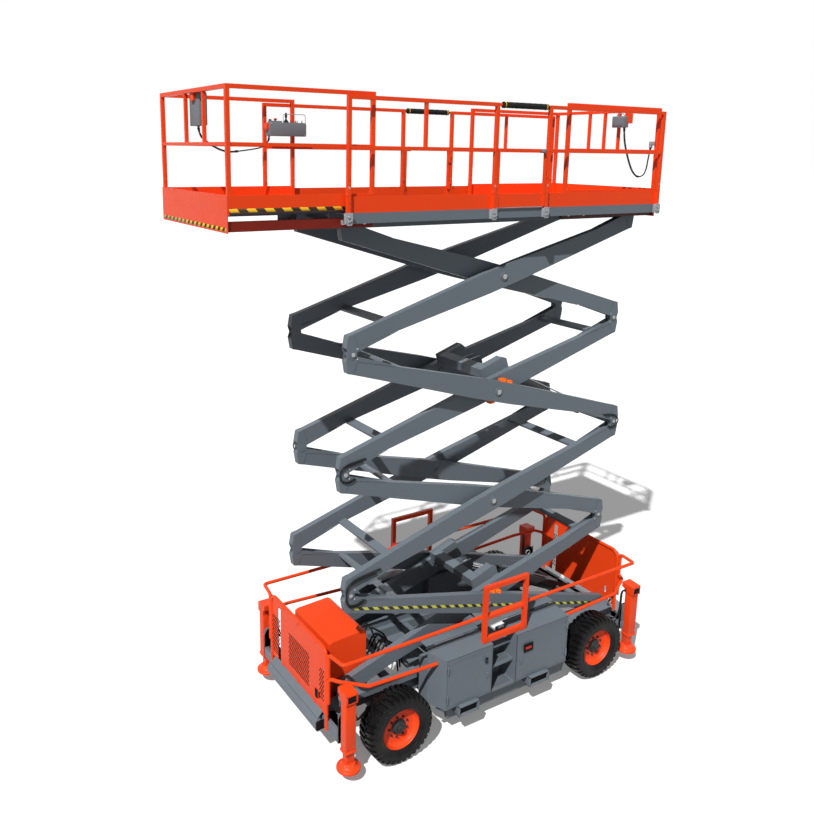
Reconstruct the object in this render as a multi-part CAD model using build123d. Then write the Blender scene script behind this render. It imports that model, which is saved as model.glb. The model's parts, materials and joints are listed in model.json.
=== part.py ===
"""Rough-terrain scissor lift with two roll-out decks and four levelling outriggers.

Millimetres. X runs along the machine (front = -X), Y across it (left = -Y), Z up. The origin
lies on the ground, on the centreline, midway between the axles. Every node is written where it
stands with the scissor stack partly raised and the front deck rolled out.
"""

import os
from math import asin, atan2, cos, degrees, hypot, pi, radians, sin, tan

from build123d import *

# --- Stance -------------------------------------------------------------------------------
wheelbase = 3068
tyre_radius = 414
tyre_width = 305
wheel_y = 976  # middle of the tread, from the centreline
running_gap = 0.3  # radial room of a pin or shaft in its hole
panel_gap = 5  # room between parts that move past each other
weld_gap = 1.2  # room at a pipe end cut square against a slanted face

# --- Scissor stack ------------------------------------------------------------------------
stage_count = 4
fixed_x = 1984  # fixed pivots, at the rear
base_pivot_z = 614
slide_x = -1959  # sliding foot as built
stage_rise = 1347
arm_width = 80
outer_arm_y = 621
inner_arm_y = 489
arm_end_depth = 146
arm_mid_depth = 244
ear_offset = 57  # from a pivot to the near edge of its beam
ear_radius = 48
mid_flat = 250  # half length of the deep middle
ear_centre_thick = 30
ear_side_thick = 18
link_pin_radius = 26
centre_pin_radius = 35
cross_tube_height = 34
cross_tube_width = 100
cross_tube_inset = 660
foot_roller_radius = 57.7

# --- Lift cylinders -----------------------------------------------------------------------
cylinder_eye_u = 2300  # rod eye, along the inner arm from its lower pivot
cylinder_eye_v = 120  # rod eye, above the inner arm's pivot line
cylinder_shaft_radius = 45
barrel_radius = 72
barrel_bore = 58
barrel_length = 1440
rod_radius = 42
rod_length = 1540

# --- Chassis ------------------------------------------------------------------------------
rail_inner_y = 496
rail_outer_y = 576
rail_over_axle_z = 485
rail_belly_z = 430
belly_setback = 414  # from an axle back to where the rails come down
rail_overhang = 586  # from an axle to the end of the side rails
axle_half = 65
kingpin_y = 850
kingpin_radius = 20
outrigger_overhang = 642  # from an axle to the middle of a column
outrigger_y = 1012
outrigger_tube = 165
outrigger_tube_y = 150
outrigger_bottom_z = 370
outrigger_top_z = 1092
pad_radius = 140
pad_bottom_z = 150

# --- Cabinets and guards ------------------------------------------------------------------
cabinet_face_y = 1100
cabinet_back_y = 700
cabinet_bottom_z = 430
cabinet_edge_z = 1067
cabinet_ridge_z = 1090
cabinet_ridge_y = 865
cabinet_front_x = -1035
cabinet_rear_x = 951
step_front_x = -262
step_rear_x = 110
sheet = 6
guard_overhang = 730  # from an axle to an end guard
guard_half_y = 709
guard_bottom_z = 443
guard_top_z = 1430
side_rail_y = 985
upper_rail_z = 1385
lower_rail_z = 990
pipe_radius = 21

# --- Platform -----------------------------------------------------------------------------
deck_z = 6107
deck_front_x = -2197
deck_rear_x = 2163
main_rail_y = 920  # middle of the rail tubes
channel_bottom_z = 6005
lug_top_z = 6092
toe_height = 155
rail_z = 7186
tube = 38
gate_front_x = -394
gate_rear_x = 308
track_gap = 7  # between a foot track and the outer arm beside it
extension_rail_y = 844
extension_length = 1520
front_deck_x = -1854  # inner edge of the front deck, rolled out
rear_deck_end_x = 2180  # outer face of the rear deck's end plate, rolled in
extension_rail_z = 7228
extension_floor_gap = 6
extension_bottom_z = 5966
extension_plate_z = 6289
end_plate = 8

# --- Cords --------------------------------------------------------------------------------
gland_length = 34
cable_diameter = 14
cable_route = (
    # from the junction box on the front end rail to the control box
    (-3292, -16, 6872),
    (-3270, 14, 6808),
    (-3187, 108, 6764),
    (-3062, 232, 6714),
    (-2925, 352, 6672),
    (-2785, 466, 6654),
    (-2625, 568, 6666),
    (-2470, 650, 6682),
    (-2330, 712, 6700),
    (-2228, 754, 6738),
    (-2196, 766, 6806),
)
hose_diameter = 16
hose_route = (
    # from the outlet box on the rear end rail to the coupling on the corner post
    (2100, -373, 6991),
    (2100, -384, 6870),
    (2102, -425, 6735),
    (2105, -478, 6600),
    (2107, -540, 6480),
    (2108, -628, 6412),
    (2109, -722, 6440),
    (2110, -757, 6530),
    (2111, -768, 6652),
    (2112, -790, 6772),
)

# --- Worked out ---------------------------------------------------------------------------
link_length = hypot(fixed_x - slide_x, stage_rise)
rest_angle = asin(stage_rise / link_length)
top_pivot_z = base_pivot_z + stage_count * stage_rise
rail_top_z = base_pivot_z - foot_roller_radius - running_gap  # the sliding feet roll on the rails
cross_top_z = rail_top_z - 12
axle_x = wheelbase / 2
chassis_end_x = axle_x + rail_overhang
belly_half = axle_x - belly_setback
outrigger_x = axle_x + outrigger_overhang
guard_x = axle_x + guard_overhang
track_lip_y = inner_arm_y + arm_width / 2 + panel_gap
track_outer_y = outer_arm_y - arm_width / 2 - track_gap
rear_deck_x = rear_deck_end_x - extension_length  # inner edge of the rear deck, rolled in
end_half = arm_end_depth / 2
mid_half = arm_mid_depth / 2
beam_offset = ear_offset + end_half
hub_z = tyre_radius

CORNERS = (
    # name, sign along X, sign along Y
    ("front_left", -1, -1),
    ("front_right", -1, 1),
    ("rear_left", 1, -1),
    ("rear_right", 1, 1),
)


# --- Small makers -------------------------------------------------------------------------
def block(x0, x1, y0, y1, z0, z1):
    """Box between three pairs of coordinates."""
    x_low, x_high = sorted((x0, x1))
    y_low, y_high = sorted((y0, y1))
    middle = Pos((x0 + x1) / 2, (y0 + y1) / 2, (z0 + z1) / 2)
    return middle * Box(x_high - x_low, y_high - y_low, abs(z1 - z0))


def slab(points, y0, y1):
    """Flat plate with an outline of (x, z) points, from y0 to y1."""
    outline = Polyline(*[(x, min(y0, y1), z) for x, z in points], close=True)
    return extrude(make_face(outline), amount=abs(y1 - y0), dir=(0, 1, 0))


def plan(points, z0, z1):
    """Upright prism with an outline of (x, y) points, from z0 to z1."""
    outline = Polyline(*[(x, y, z0) for x, y in points], close=True)
    return extrude(make_face(outline), amount=z1 - z0, dir=(0, 0, 1))


def shaft(x, z, radius, y0, y1):
    """Round bar along Y."""
    return Pos(x, (y0 + y1) / 2, z) * Rot(90, 0, 0) * Cylinder(radius, abs(y1 - y0))


def post(x, y, radius, z0, z1):
    """Round bar along Z."""
    return Pos(x, y, (z0 + z1) / 2) * Cylinder(radius, z1 - z0)


def pipe(points, radius, bend):
    """Bent pipe through a list of corners."""
    path = FilletPolyline(*points, radius=bend)
    start = Plane(origin=path @ 0, z_dir=path % 0)
    return sweep(start * Circle(radius), path=path)


def corner_radii(route):
    """Radius of the arc at each inner point: 0.45 of the shorter run by the tangent of half the turn."""
    radii = []
    for before, corner, after in zip(route, route[1:], route[2:]):
        run_in = Vector(corner) - Vector(before)
        run_out = Vector(after) - Vector(corner)
        half_turn = radians(run_in.get_angle(run_out)) / 2
        radii.append(0.45 * min(run_in.length, run_out.length) / tan(half_turn))
    return radii


def cord(name, route, diameter):
    """Plain tube along a cord's route, an arc at each corner."""
    radii = corner_radii(route)
    path = FilletPolyline(*route, radius=radii)
    start = Plane(origin=path @ 0, z_dir=path % 0)
    tube_of_cord = sweep(start * Circle(diameter / 2), path=path)
    share = tube_of_cord.volume / (pi * diameter**2 / 4 * path.length)
    print(name, "length", round(path.length), "volume share", round(share, 4))
    print("radii", [round(radius) for radius in radii])
    return tube_of_cord


def gland(tip, next_point, diameter):
    """Short sleeve that a cord leaves, square to its first run."""
    backwards = Vector(tip) - Vector(next_point)
    foot = Plane(origin=tip, z_dir=backwards)
    return extrude(foot * Circle(diameter / 2 + 4), amount=gland_length)


def both_sides(shape):
    """The shape and its mirror image on the other side of the machine."""
    return shape + mirror(shape, about=Plane.XZ)


def both_ends(shape):
    """The shape and its mirror image at the other end of the machine."""
    return shape + mirror(shape, about=Plane.YZ)


def square_bar(start, finish, size):
    """Square tube, drawn solid, along one axis between two centre points."""
    low = [min(a, b) for a, b in zip(start, finish)]
    high = [max(a, b) for a, b in zip(start, finish)]
    grow = [0 if b > a else size / 2 for a, b in zip(low, high)]
    spans = [(a - g, b + g) for a, b, g in zip(low, high, grow)]
    return block(*spans[0], *spans[1], *spans[2])


# --- Wheels and axles ---------------------------------------------------------------------
rim_radius = 211
rim_width = 236
disc_inset = -20
hub_radius = 72
hub_reach = 92
spindle_radius = 40
spindle_reach = 28


def tyre(x, side):
    """Plain tyre carcass round its rim."""
    bead = rim_radius + running_gap
    half = tyre_width / 2
    tread = half - 26
    seat = rim_width / 2 - 11 - running_gap
    with BuildSketch(Plane.XY) as section:
        with BuildLine():
            Line((bead, -seat), (bead, seat))
            Line((bead, seat), (bead + 19, seat))
            ThreePointArc((bead + 19, seat), (310, half), (tyre_radius - 22, half - 10))
            Line((tyre_radius - 22, half - 10), (tyre_radius, tread))
            Line((tyre_radius, tread), (tyre_radius, -tread))
            Line((tyre_radius, -tread), (tyre_radius - 22, -half + 10))
            ThreePointArc((tyre_radius - 22, -half + 10), (310, -half), (bead + 19, -seat))
            Line((bead + 19, -seat), (bead, -seat))
        make_face()
    ring = revolve(section.sketch, axis=Axis.Y)
    return Pos(x, side * wheel_y, hub_z) * ring


def rim(x, side):
    """Dished steel rim with its hub and the bore that runs on the spindle."""
    half = rim_width / 2
    inner = rim_radius - 8
    lip = rim_radius + 15
    profile = (
        (inner, -half),
        (lip, -half),
        (lip, -half + 11),
        (rim_radius, -half + 11),
        (rim_radius, half - 11),
        (lip, half - 11),
        (lip, half),
        (inner, half),
        (inner - 20, disc_inset + 12),
        (hub_radius, disc_inset + 12),
        (hub_radius, hub_reach),
        (0, hub_reach),
        (0, spindle_reach + 2),
        (spindle_radius + running_gap, spindle_reach + 2),
        (spindle_radius + running_gap, -62),
        (hub_radius, -62),
        (hub_radius, disc_inset),
        (inner - 20, disc_inset),
        (inner - 8, disc_inset),
    )
    outline = Polyline(*profile, close=True)
    wheel = revolve(make_face(outline), axis=Axis.Y)
    if side < 0:
        wheel = mirror(wheel, about=Plane.XZ)
    return Pos(x, side * wheel_y, hub_z) * wheel


def spindle(x, side, from_y):
    """Stub that the hub turns on."""
    return shaft(x, hub_z, spindle_radius, side * from_y, side * (wheel_y + spindle_reach))


def axle_beam(x, half_length):
    """Box axle with its round differential housing and the pads below the rails."""
    beam = block(x - axle_half, x + axle_half, -half_length, half_length, hub_z - axle_half, hub_z + axle_half)
    bowl = Pos(x, 0, hub_z) * Rot(0, 90, 0) * Cylinder(128, 190)
    bowl += Pos(x, 0, hub_z) * Rot(0, 90, 0) * Cylinder(90, 300)
    pads = both_sides(block(x - 90, x + 90, rail_inner_y, rail_outer_y, hub_z + 40, rail_over_axle_z))
    return beam + bowl + pads


yoke_half = 45
knuckle_half_z = 74
yoke_top = 98


def front_axle():
    """Steered axle: the beam ends in forks that hold the kingpins."""
    x = -axle_x
    axle = axle_beam(x, kingpin_y - yoke_half - panel_gap - 4)
    for side in (-1, 1):
        y0 = side * (kingpin_y - yoke_half - 30)
        y1 = side * (kingpin_y + 30)
        for up in (-1, 1):
            z0 = hub_z + up * (knuckle_half_z + panel_gap)
            z1 = hub_z + up * yoke_top
            axle += block(x - yoke_half, x + yoke_half, y0, y1, min(z0, z1), max(z0, z1))
        web_y = side * (kingpin_y - yoke_half - 12)
        axle += block(x - yoke_half, x + yoke_half, y0, web_y, hub_z - yoke_top, hub_z + yoke_top)
        axle -= post(x, side * kingpin_y, kingpin_radius + running_gap, 0, 2 * hub_z)
    return axle


def rear_axle():
    """Rigid drive axle with its two spindles."""
    axle = axle_beam(axle_x, 880)
    for side in (-1, 1):
        axle += spindle(axle_x, side, 860)
    return axle


def knuckle(side):
    """Steering knuckle: body, kingpin and spindle in one."""
    x = -axle_x
    y = side * kingpin_y
    body = block(x - 40, x + 40, y - 32, y + 32, hub_z - knuckle_half_z, hub_z + knuckle_half_z)
    body += post(x, y, kingpin_radius, hub_z - yoke_top, hub_z + yoke_top)
    return body + spindle(x, side, kingpin_y)


# --- Chassis ------------------------------------------------------------------------------
track_top_z = 687
track_sheet = 10
roller_end_gap = 3  # between a foot roller and its track's web
track_rear_x = -20
track_front_x = -2235
crossbeam_top_z = 550
crossbeam_bottom_z = 425
housing_inner_y = outrigger_y - outrigger_tube_y / 2
housing_wall = 10
leg_top_z = outrigger_top_z - 200
bracket_thick = 12
member_beyond = 296  # cross member outboard of the front axle
member_before = 284  # cross members inboard of both axles


def chassis_frame():
    """Side rails, cross members, foot tracks, pivot lugs and outrigger crossbeams."""
    rail_line = (
        (-chassis_end_x, rail_top_z),
        (chassis_end_x, rail_top_z),
        (chassis_end_x, rail_over_axle_z),
        (belly_half + 180, rail_over_axle_z),
        (belly_half, rail_belly_z),
        (-belly_half, rail_belly_z),
        (-belly_half - 180, rail_over_axle_z),
        (-chassis_end_x, rail_over_axle_z),
    )
    side = slab(rail_line, rail_inner_y, rail_outer_y)
    web = block(track_front_x, track_rear_x, track_outer_y - track_sheet, track_outer_y, rail_top_z, track_top_z)
    flange = block(track_front_x, track_rear_x, track_lip_y, track_outer_y, track_top_z - track_sheet, track_top_z)
    side += web + flange
    lug_y0 = outer_arm_y - ear_centre_thick / 2
    lug_y1 = outer_arm_y + ear_centre_thick / 2
    lug_line = (
        (fixed_x - 90, rail_top_z - 10),
        (fixed_x + 90, rail_top_z - 10),
        (fixed_x + 40, base_pivot_z),
        (fixed_x - 40, base_pivot_z),
    )
    side += slab(lug_line, lug_y0, lug_y1)
    side += shaft(fixed_x, base_pivot_z, ear_radius, lug_y0, lug_y1)
    side += shaft(fixed_x, base_pivot_z, link_pin_radius, 0, outer_arm_y + arm_width / 2 + 12)
    side += shaft(fixed_x, base_pivot_z, cylinder_shaft_radius, 0, outer_arm_y - arm_width / 2 - 6)
    end_x = outrigger_x - outrigger_tube / 2 + 16
    bracket_x1 = outrigger_x + outrigger_tube / 2
    for end in (-1, 1):
        side += block(end * end_x, end * (end_x + 100), 0, housing_inner_y, crossbeam_bottom_z, crossbeam_top_z)
        bracket_line = (
            (end * (bracket_x1 - 165), crossbeam_bottom_z),
            (end * bracket_x1, crossbeam_bottom_z),
            (end * bracket_x1, 720),
            (end * (bracket_x1 - 40), 790),
            (end * (bracket_x1 - 125), 790),
            (end * (bracket_x1 - 165), 720),
        )
        side += slab(bracket_line, housing_inner_y - bracket_thick, housing_inner_y)
    side += block(fixed_x - 70, fixed_x + 70, 0, rail_inner_y, rail_over_axle_z, rail_top_z - 30)
    side += block(fixed_x - 70, fixed_x + 70, rail_outer_y, 690, rail_over_axle_z, rail_top_z)
    for x in (-axle_x - member_beyond, member_before - axle_x, -420, 420, axle_x - member_before):
        depth = rail_over_axle_z if abs(x) > belly_half else rail_belly_z
        side += block(x - 45, x + 45, 0, rail_inner_y, depth, cross_top_z)
    for x in (-900, 890):
        side += block(x - 40, x + 40, rail_inner_y, cabinet_face_y - 60, tray_bottom_z, cabinet_bottom_z)
    return both_sides(side)


def outrigger_housings():
    """Four square columns with slanted heads, open below for the legs."""
    half_x = outrigger_tube / 2
    column = block(
        outrigger_x - half_x,
        outrigger_x + half_x,
        housing_inner_y,
        housing_inner_y + outrigger_tube_y,
        outrigger_bottom_z,
        outrigger_top_z - 95,
    )
    head = extrude(
        make_face(
            Polyline(
                (outrigger_x - half_x, housing_inner_y - 8, outrigger_top_z - 120),
                (outrigger_x - half_x, housing_inner_y + outrigger_tube_y + 14, outrigger_top_z - 95),
                (outrigger_x - half_x, housing_inner_y + outrigger_tube_y + 14, outrigger_top_z - 70),
                (outrigger_x - half_x, housing_inner_y - 8, outrigger_top_z),
                close=True,
            )
        ),
        amount=outrigger_tube,
        dir=(1, 0, 0),
    )
    column += head
    column -= block(
        outrigger_x - half_x + housing_wall,
        outrigger_x + half_x - housing_wall,
        housing_inner_y + housing_wall,
        housing_inner_y + outrigger_tube_y - housing_wall,
        outrigger_bottom_z - 1,
        outrigger_top_z - 150,
    )
    return both_sides(both_ends(column))


def outrigger_leg(end, side):
    """Sliding leg with its neck and dished foot."""
    x = end * outrigger_x
    y = side * outrigger_y
    guide_x = outrigger_tube / 2 - housing_wall - running_gap
    guide_y = outrigger_tube_y / 2 - housing_wall - running_gap
    half_x = guide_x - panel_gap
    half_y = guide_y - panel_gap
    neck_z = outrigger_bottom_z - 60
    leg = block(x - half_x, x + half_x, y - half_y, y + half_y, neck_z, leg_top_z)
    leg += block(x - guide_x, x + guide_x, y - guide_y, y + guide_y, leg_top_z - 60, leg_top_z)
    leg += post(x, y, 62, pad_bottom_z + 60, neck_z)
    rim_z = pad_bottom_z + 78
    profile = (
        (0, pad_bottom_z),
        (pad_radius - 45, pad_bottom_z),
        (pad_radius, pad_bottom_z + 34),
        (pad_radius, pad_bottom_z + 52),
        (80, rim_z),
        (0, rim_z),
    )
    dish = revolve(make_face(Polyline(*[(r, 0, z) for r, z in profile], close=True)), axis=Axis.Z)
    return leg + Pos(x, y, 0) * dish


# --- Guards and base rails ----------------------------------------------------------------
guard_pipe_y = guard_half_y - pipe_radius
rail_leg_y = guard_pipe_y + 2 * pipe_radius
crossbeam_face_x = outrigger_x - outrigger_tube / 2 + 116


def end_guard(end):
    """Sheet guard with its pipe frame across one end."""
    x = end * guard_x
    plate = block(x - 3, x + 3, -guard_pipe_y, guard_pipe_y, guard_bottom_z + 160, guard_top_z - 24)
    slot_z = guard_bottom_z + 280
    plate -= block(x - 10, x + 10, -guard_half_y + 175, -guard_half_y + 210, slot_z, slot_z + 95)
    plate -= block(x - 10, x + 10, guard_half_y - 265, guard_half_y - 195, 0, guard_top_z - 110)
    frame = pipe(
        [
            (x, -guard_pipe_y, guard_bottom_z),
            (x, -guard_pipe_y, guard_top_z - pipe_radius),
            (x, guard_pipe_y, guard_top_z - pipe_radius),
            (x, guard_pipe_y, guard_bottom_z),
        ],
        pipe_radius,
        110,
    )
    foot = block(
        x,
        end * crossbeam_face_x,
        guard_pipe_y - 14,
        guard_pipe_y + 14,
        guard_bottom_z + 50,
        guard_bottom_z + 96,
    )
    return plate + frame + both_sides(foot)


def base_rails():
    """Bent pipes along both sides, each standing on legs beside the end guards."""
    turn_x = guard_x - 34
    upper = [
        (-guard_x, rail_leg_y, upper_rail_z - 280),
        (-guard_x, rail_leg_y, upper_rail_z),
        (-turn_x, side_rail_y, upper_rail_z),
        (turn_x, side_rail_y, upper_rail_z),
        (guard_x, rail_leg_y, upper_rail_z),
        (guard_x, rail_leg_y, upper_rail_z - 280),
    ]
    rails = pipe(upper, pipe_radius, 48)
    chamfer_slope = (chamfer_face_x - cabinet_front_x) / (cabinet_face_y - cabinet_ridge_y)
    front_end_x = cabinet_front_x + (side_rail_y - pipe_radius - cabinet_ridge_y) * chamfer_slope
    for end, end_x in ((-1, front_end_x), (1, cabinet_rear_x)):
        lower = [
            (end * guard_x, rail_leg_y, lower_rail_z - 200),
            (end * guard_x, rail_leg_y, lower_rail_z + 105),
            (end * (guard_x - 74), rail_leg_y + 120, lower_rail_z + 110),
            (end * (guard_x - 360), side_rail_y, lower_rail_z + 40),
            (end_x + end * weld_gap, side_rail_y, lower_rail_z),
        ]
        rails += pipe(lower, pipe_radius, 48)
    return both_sides(rails)


entry_front_x = -375
entry_rear_x = 290
entry_top_z = 1790
entry_bar = 50
entry_y = side_rail_y + pipe_radius + entry_bar / 2


def entry_frame(side):
    """Grab frame that stands on the cabinet roofs astride the steps."""
    front_x, rear_x = (entry_front_x, entry_rear_x)
    if side > 0:
        front_x, rear_x = (-entry_rear_x, -entry_front_x)
    half = entry_bar / 2
    roof = roof_height(entry_y - half)
    y0, y1 = side * (entry_y - half), side * (entry_y + half)
    frame = block(front_x, rear_x, y0, y1, roof, entry_top_z)
    frame -= block(
        front_x + entry_bar,
        rear_x - entry_bar,
        y0 - side,
        y1 + side,
        roof + 60,
        entry_top_z - entry_bar,
    )
    middle = upper_rail_z
    return frame + block(front_x, rear_x, y0, y1 - side * 12, middle - 21, middle + 21)


def entry_frames():
    """Both grab frames, turned half round from each other."""
    return entry_frame(-1) + entry_frame(1)


def front_bumper():
    """Pressed channel below the front guard."""
    back_x = -guard_x + 3
    shape = (
        # how far it stands out, height
        (0, 394),
        (40, 394),
        (66, 430),
        (66, 505),
        (40, 541),
        (0, 541),
        (0, 531),
        (35, 531),
        (56, 502),
        (56, 433),
        (35, 404),
        (0, 404),
    )
    bumper = slab([(back_x - 40 - out, z) for out, z in shape], -618, 618)
    for y in (-420, 420):
        bumper += block(back_x - 40 - 58, -crossbeam_face_x, y - 30, y + 30, 440, 500)
    return bumper


def hood_box():
    """Cover between the arms at the front, closed above and open below."""
    front_x, rear_x, half = -2083, -1600, 425
    line = (
        (front_x, cross_top_z),
        (rear_x, cross_top_z),
        (rear_x, 1290),
        (rear_x - 40, 1312),
        (front_x + 30, 1290),
        (front_x, 1270),
    )
    inside = (
        (front_x + sheet, 0),
        (rear_x - sheet, 0),
        (rear_x - sheet, 1262),
        (front_x + sheet, 1262),
    )
    return slab(line, -half, half) - slab(inside, -half + sheet, half - sheet)


# --- Cabinets -----------------------------------------------------------------------------
door_inset = 14
door_hinge_z = (560, 930)
hinge_radius = 8
hinge_out = hinge_radius + running_gap
tray_bottom_z = 378
inner_shelf_z = 960
chamfer_face_x = -942
door_frames = (
    # name, front x, rear x, hinge x
    ("front", chamfer_face_x, step_front_x, chamfer_face_x),
    ("rear", step_rear_x, cabinet_rear_x, cabinet_rear_x),
)


def roof_height(y):
    """Height of the cabinet roof at a distance from the centreline."""
    share = (cabinet_face_y - y) / (cabinet_face_y - cabinet_ridge_y)
    return cabinet_edge_z + share * (cabinet_ridge_z - cabinet_edge_z)


def cabinet_section(x0, x1, wall):
    """Prism of the cabinet's cross section, drawn in by a wall thickness."""
    line = (
        (cabinet_back_y + wall, cabinet_bottom_z + wall),
        (cabinet_face_y - wall, cabinet_bottom_z + wall),
        (cabinet_face_y - wall, cabinet_edge_z - wall),
        (cabinet_ridge_y + wall, cabinet_ridge_z - wall),
        (cabinet_ridge_y - 25 + wall, inner_shelf_z - wall),
        (cabinet_back_y + wall, inner_shelf_z - wall),
    )
    outline = Polyline(*[(x0 + wall, y, z) for y, z in line], close=True)
    return extrude(make_face(outline), amount=x1 - x0 - 2 * wall, dir=(1, 0, 0))


def corner_cut(wall):
    """Upright wedge that takes the front outer corner off."""
    reach = 400
    slope = (cabinet_face_y - cabinet_ridge_y) / (chamfer_face_x - cabinet_front_x)
    x0 = cabinet_front_x + wall
    line = (
        (x0 - 1, cabinet_ridge_y - slope),
        (chamfer_face_x + wall + 40, cabinet_face_y + 40 * slope),
        (x0 - 1, cabinet_face_y + reach),
    )
    return plan(line, 0, 2 * cabinet_ridge_z)


def side_cabinets():
    """Two hollow cabinets with the step unit between them, on the right."""
    unit = cabinet_section(cabinet_front_x, step_front_x, 0) - corner_cut(0)
    unit -= cabinet_section(cabinet_front_x, step_front_x, sheet) - corner_cut(sheet)
    unit += cabinet_section(step_rear_x, cabinet_rear_x, 0)
    unit -= cabinet_section(step_rear_x, cabinet_rear_x, sheet)
    for _, x0, x1, _ in door_frames:
        unit -= block(
            x0 + door_inset,
            x1 - door_inset,
            cabinet_face_y - sheet - 1,
            cabinet_face_y + 1,
            cabinet_bottom_z + 16,
            cabinet_edge_z - 12,
        )
    for _, x0, x1, hinge_x in door_frames:
        inward = 1 if hinge_x == x0 else -1
        edge_x = hinge_x + inward * (door_inset + panel_gap)
        for z in door_hinge_z:
            unit += post(edge_x, cabinet_face_y + hinge_out, hinge_radius, z + 30 + running_gap, z + 58)
            unit += block(hinge_x, edge_x, cabinet_face_y, cabinet_face_y + 5, z + 33, z + 56)
    for z, front_y in ((cabinet_bottom_z, 1080), (720, 1040), (930, 980)):
        unit += block(step_front_x, step_rear_x, 820, front_y, z, z + 8)
    unit += block(step_front_x, step_rear_x, 812, 820, cabinet_bottom_z, 990)
    return unit


def cabinet_door(x0, x1, hinge_x):
    """Sheet door with its latch and hinge barrels, on the right."""
    front_x = x0 + door_inset + panel_gap
    rear_x = x1 - door_inset - panel_gap
    face = cabinet_face_y
    bottom_z = cabinet_bottom_z + 16 + panel_gap
    door = block(front_x, rear_x, face - sheet, face, bottom_z, cabinet_edge_z - 12 - panel_gap)
    inward = 1 if hinge_x == x0 else -1
    edge_x = front_x if inward > 0 else rear_x
    latch_x = rear_x - 55 if inward > 0 else front_x + 55
    door += block(latch_x - 17, latch_x + 17, face, face + 10, 660, 720)
    for z in door_hinge_z:
        door += post(edge_x, face + hinge_out, hinge_radius, z - 30, z + 30)
        door += block(edge_x, edge_x + inward * 40, face, face + 5, z - 26, z + 26)
    return door


def fork_pockets():
    """Two fork tubes across the machine with the skirts that carry the cabinets."""
    tube_floor = 318
    wall = 10
    unit = None
    holes = None
    for x0, x1 in ((-763, -485), (323, 620)):
        tube_out = block(x0, x1, -1120, 1120, tube_floor, cabinet_bottom_z)
        hole = block(x0 + wall, x1 - wall, -1130, 1130, tube_floor + wall, cabinet_bottom_z - wall)
        unit = tube_out if unit is None else unit + tube_out
        holes = hole if holes is None else holes + hole
    skirt_line = ((-820, 215), (1000, 215), (1040, 370), (1040, tray_bottom_z), (-990, tray_bottom_z), (-860, 370))
    for side in (-1, 1):
        unit += slab(skirt_line, side * 940, side * 1000)
    return unit - holes


# --- Scissor arms -------------------------------------------------------------------------
class ArmPlace:
    """Where one arm of the stack lies: its lower pivot, which way it rises, and its plane."""

    def __init__(self, chain, stage):
        starts_at_rear = (stage % 2 == 1) == (chain == "outer")
        self.rise = -1 if starts_at_rear else 1
        self.x = fixed_x if starts_at_rear else slide_x
        self.z = base_pivot_z + (stage - 1) * stage_rise
        self.y = outer_arm_y if chain == "outer" else inner_arm_y

    def at(self, u, v):
        """Point (x, z) that lies u along the arm and v above its pivot line."""
        x = self.x + self.rise * (u * cos(rest_angle) - v * sin(rest_angle))
        z = self.z + u * sin(rest_angle) + v * cos(rest_angle)
        return (x, z)

    def slab(self, points, y0, y1):
        """Plate with an outline in the arm's own directions."""
        return slab([self.at(u, v) for u, v in points], y0, y1)

    def shaft(self, u, v, radius, y0, y1):
        """Round bar across the machine at a point of the arm."""
        x, z = self.at(u, v)
        return shaft(x, z, radius, y0, y1)


def beam_centre(u):
    """Height of the beam's middle above the pivot line."""
    return beam_offset * (1 - 2 * u / link_length)


def lower_half_line():
    """Outline of the arm's lower half, from the top edge round the end to the bottom edge."""
    middle = link_length / 2 - mid_flat
    return [
        (middle, beam_centre(middle) + mid_half),
        (20, beam_centre(20) + end_half),
        (-35, beam_centre(0) + end_half - 25),
        (-48, ear_offset + 63),
        (-20, ear_offset),
        (100, beam_centre(100) - end_half - 2),
        (middle, beam_centre(middle) - mid_half),
    ]


def edge_half(u):
    """Half depth of the beam at a distance from its lower pivot."""
    from_end = min(u, link_length - u)
    middle = link_length / 2 - mid_flat
    share = (from_end - 20) / (middle - 20)
    return end_half + (mid_half - end_half) * min(1, max(0, share))


tubes = {
    # arm: (lower tube from the lower pivot, upper tube from the upper pivot)
    ("outer", 1): (None, cross_tube_inset),
    ("outer", 2): (cross_tube_inset, cross_tube_inset),
    ("outer", 3): (None, cross_tube_inset),
    ("outer", 4): (cross_tube_inset, None),
    ("inner", 1): (cross_tube_inset, 330),
    ("inner", 2): (cross_tube_inset, cross_tube_inset),
    ("inner", 3): (cross_tube_inset, 330),
    ("inner", 4): (cross_tube_inset, cross_tube_inset),
}


ear_web = ((-46, 0), (46, 0), (74, 80), (-24, 80))  # between an ear and its beam


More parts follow.
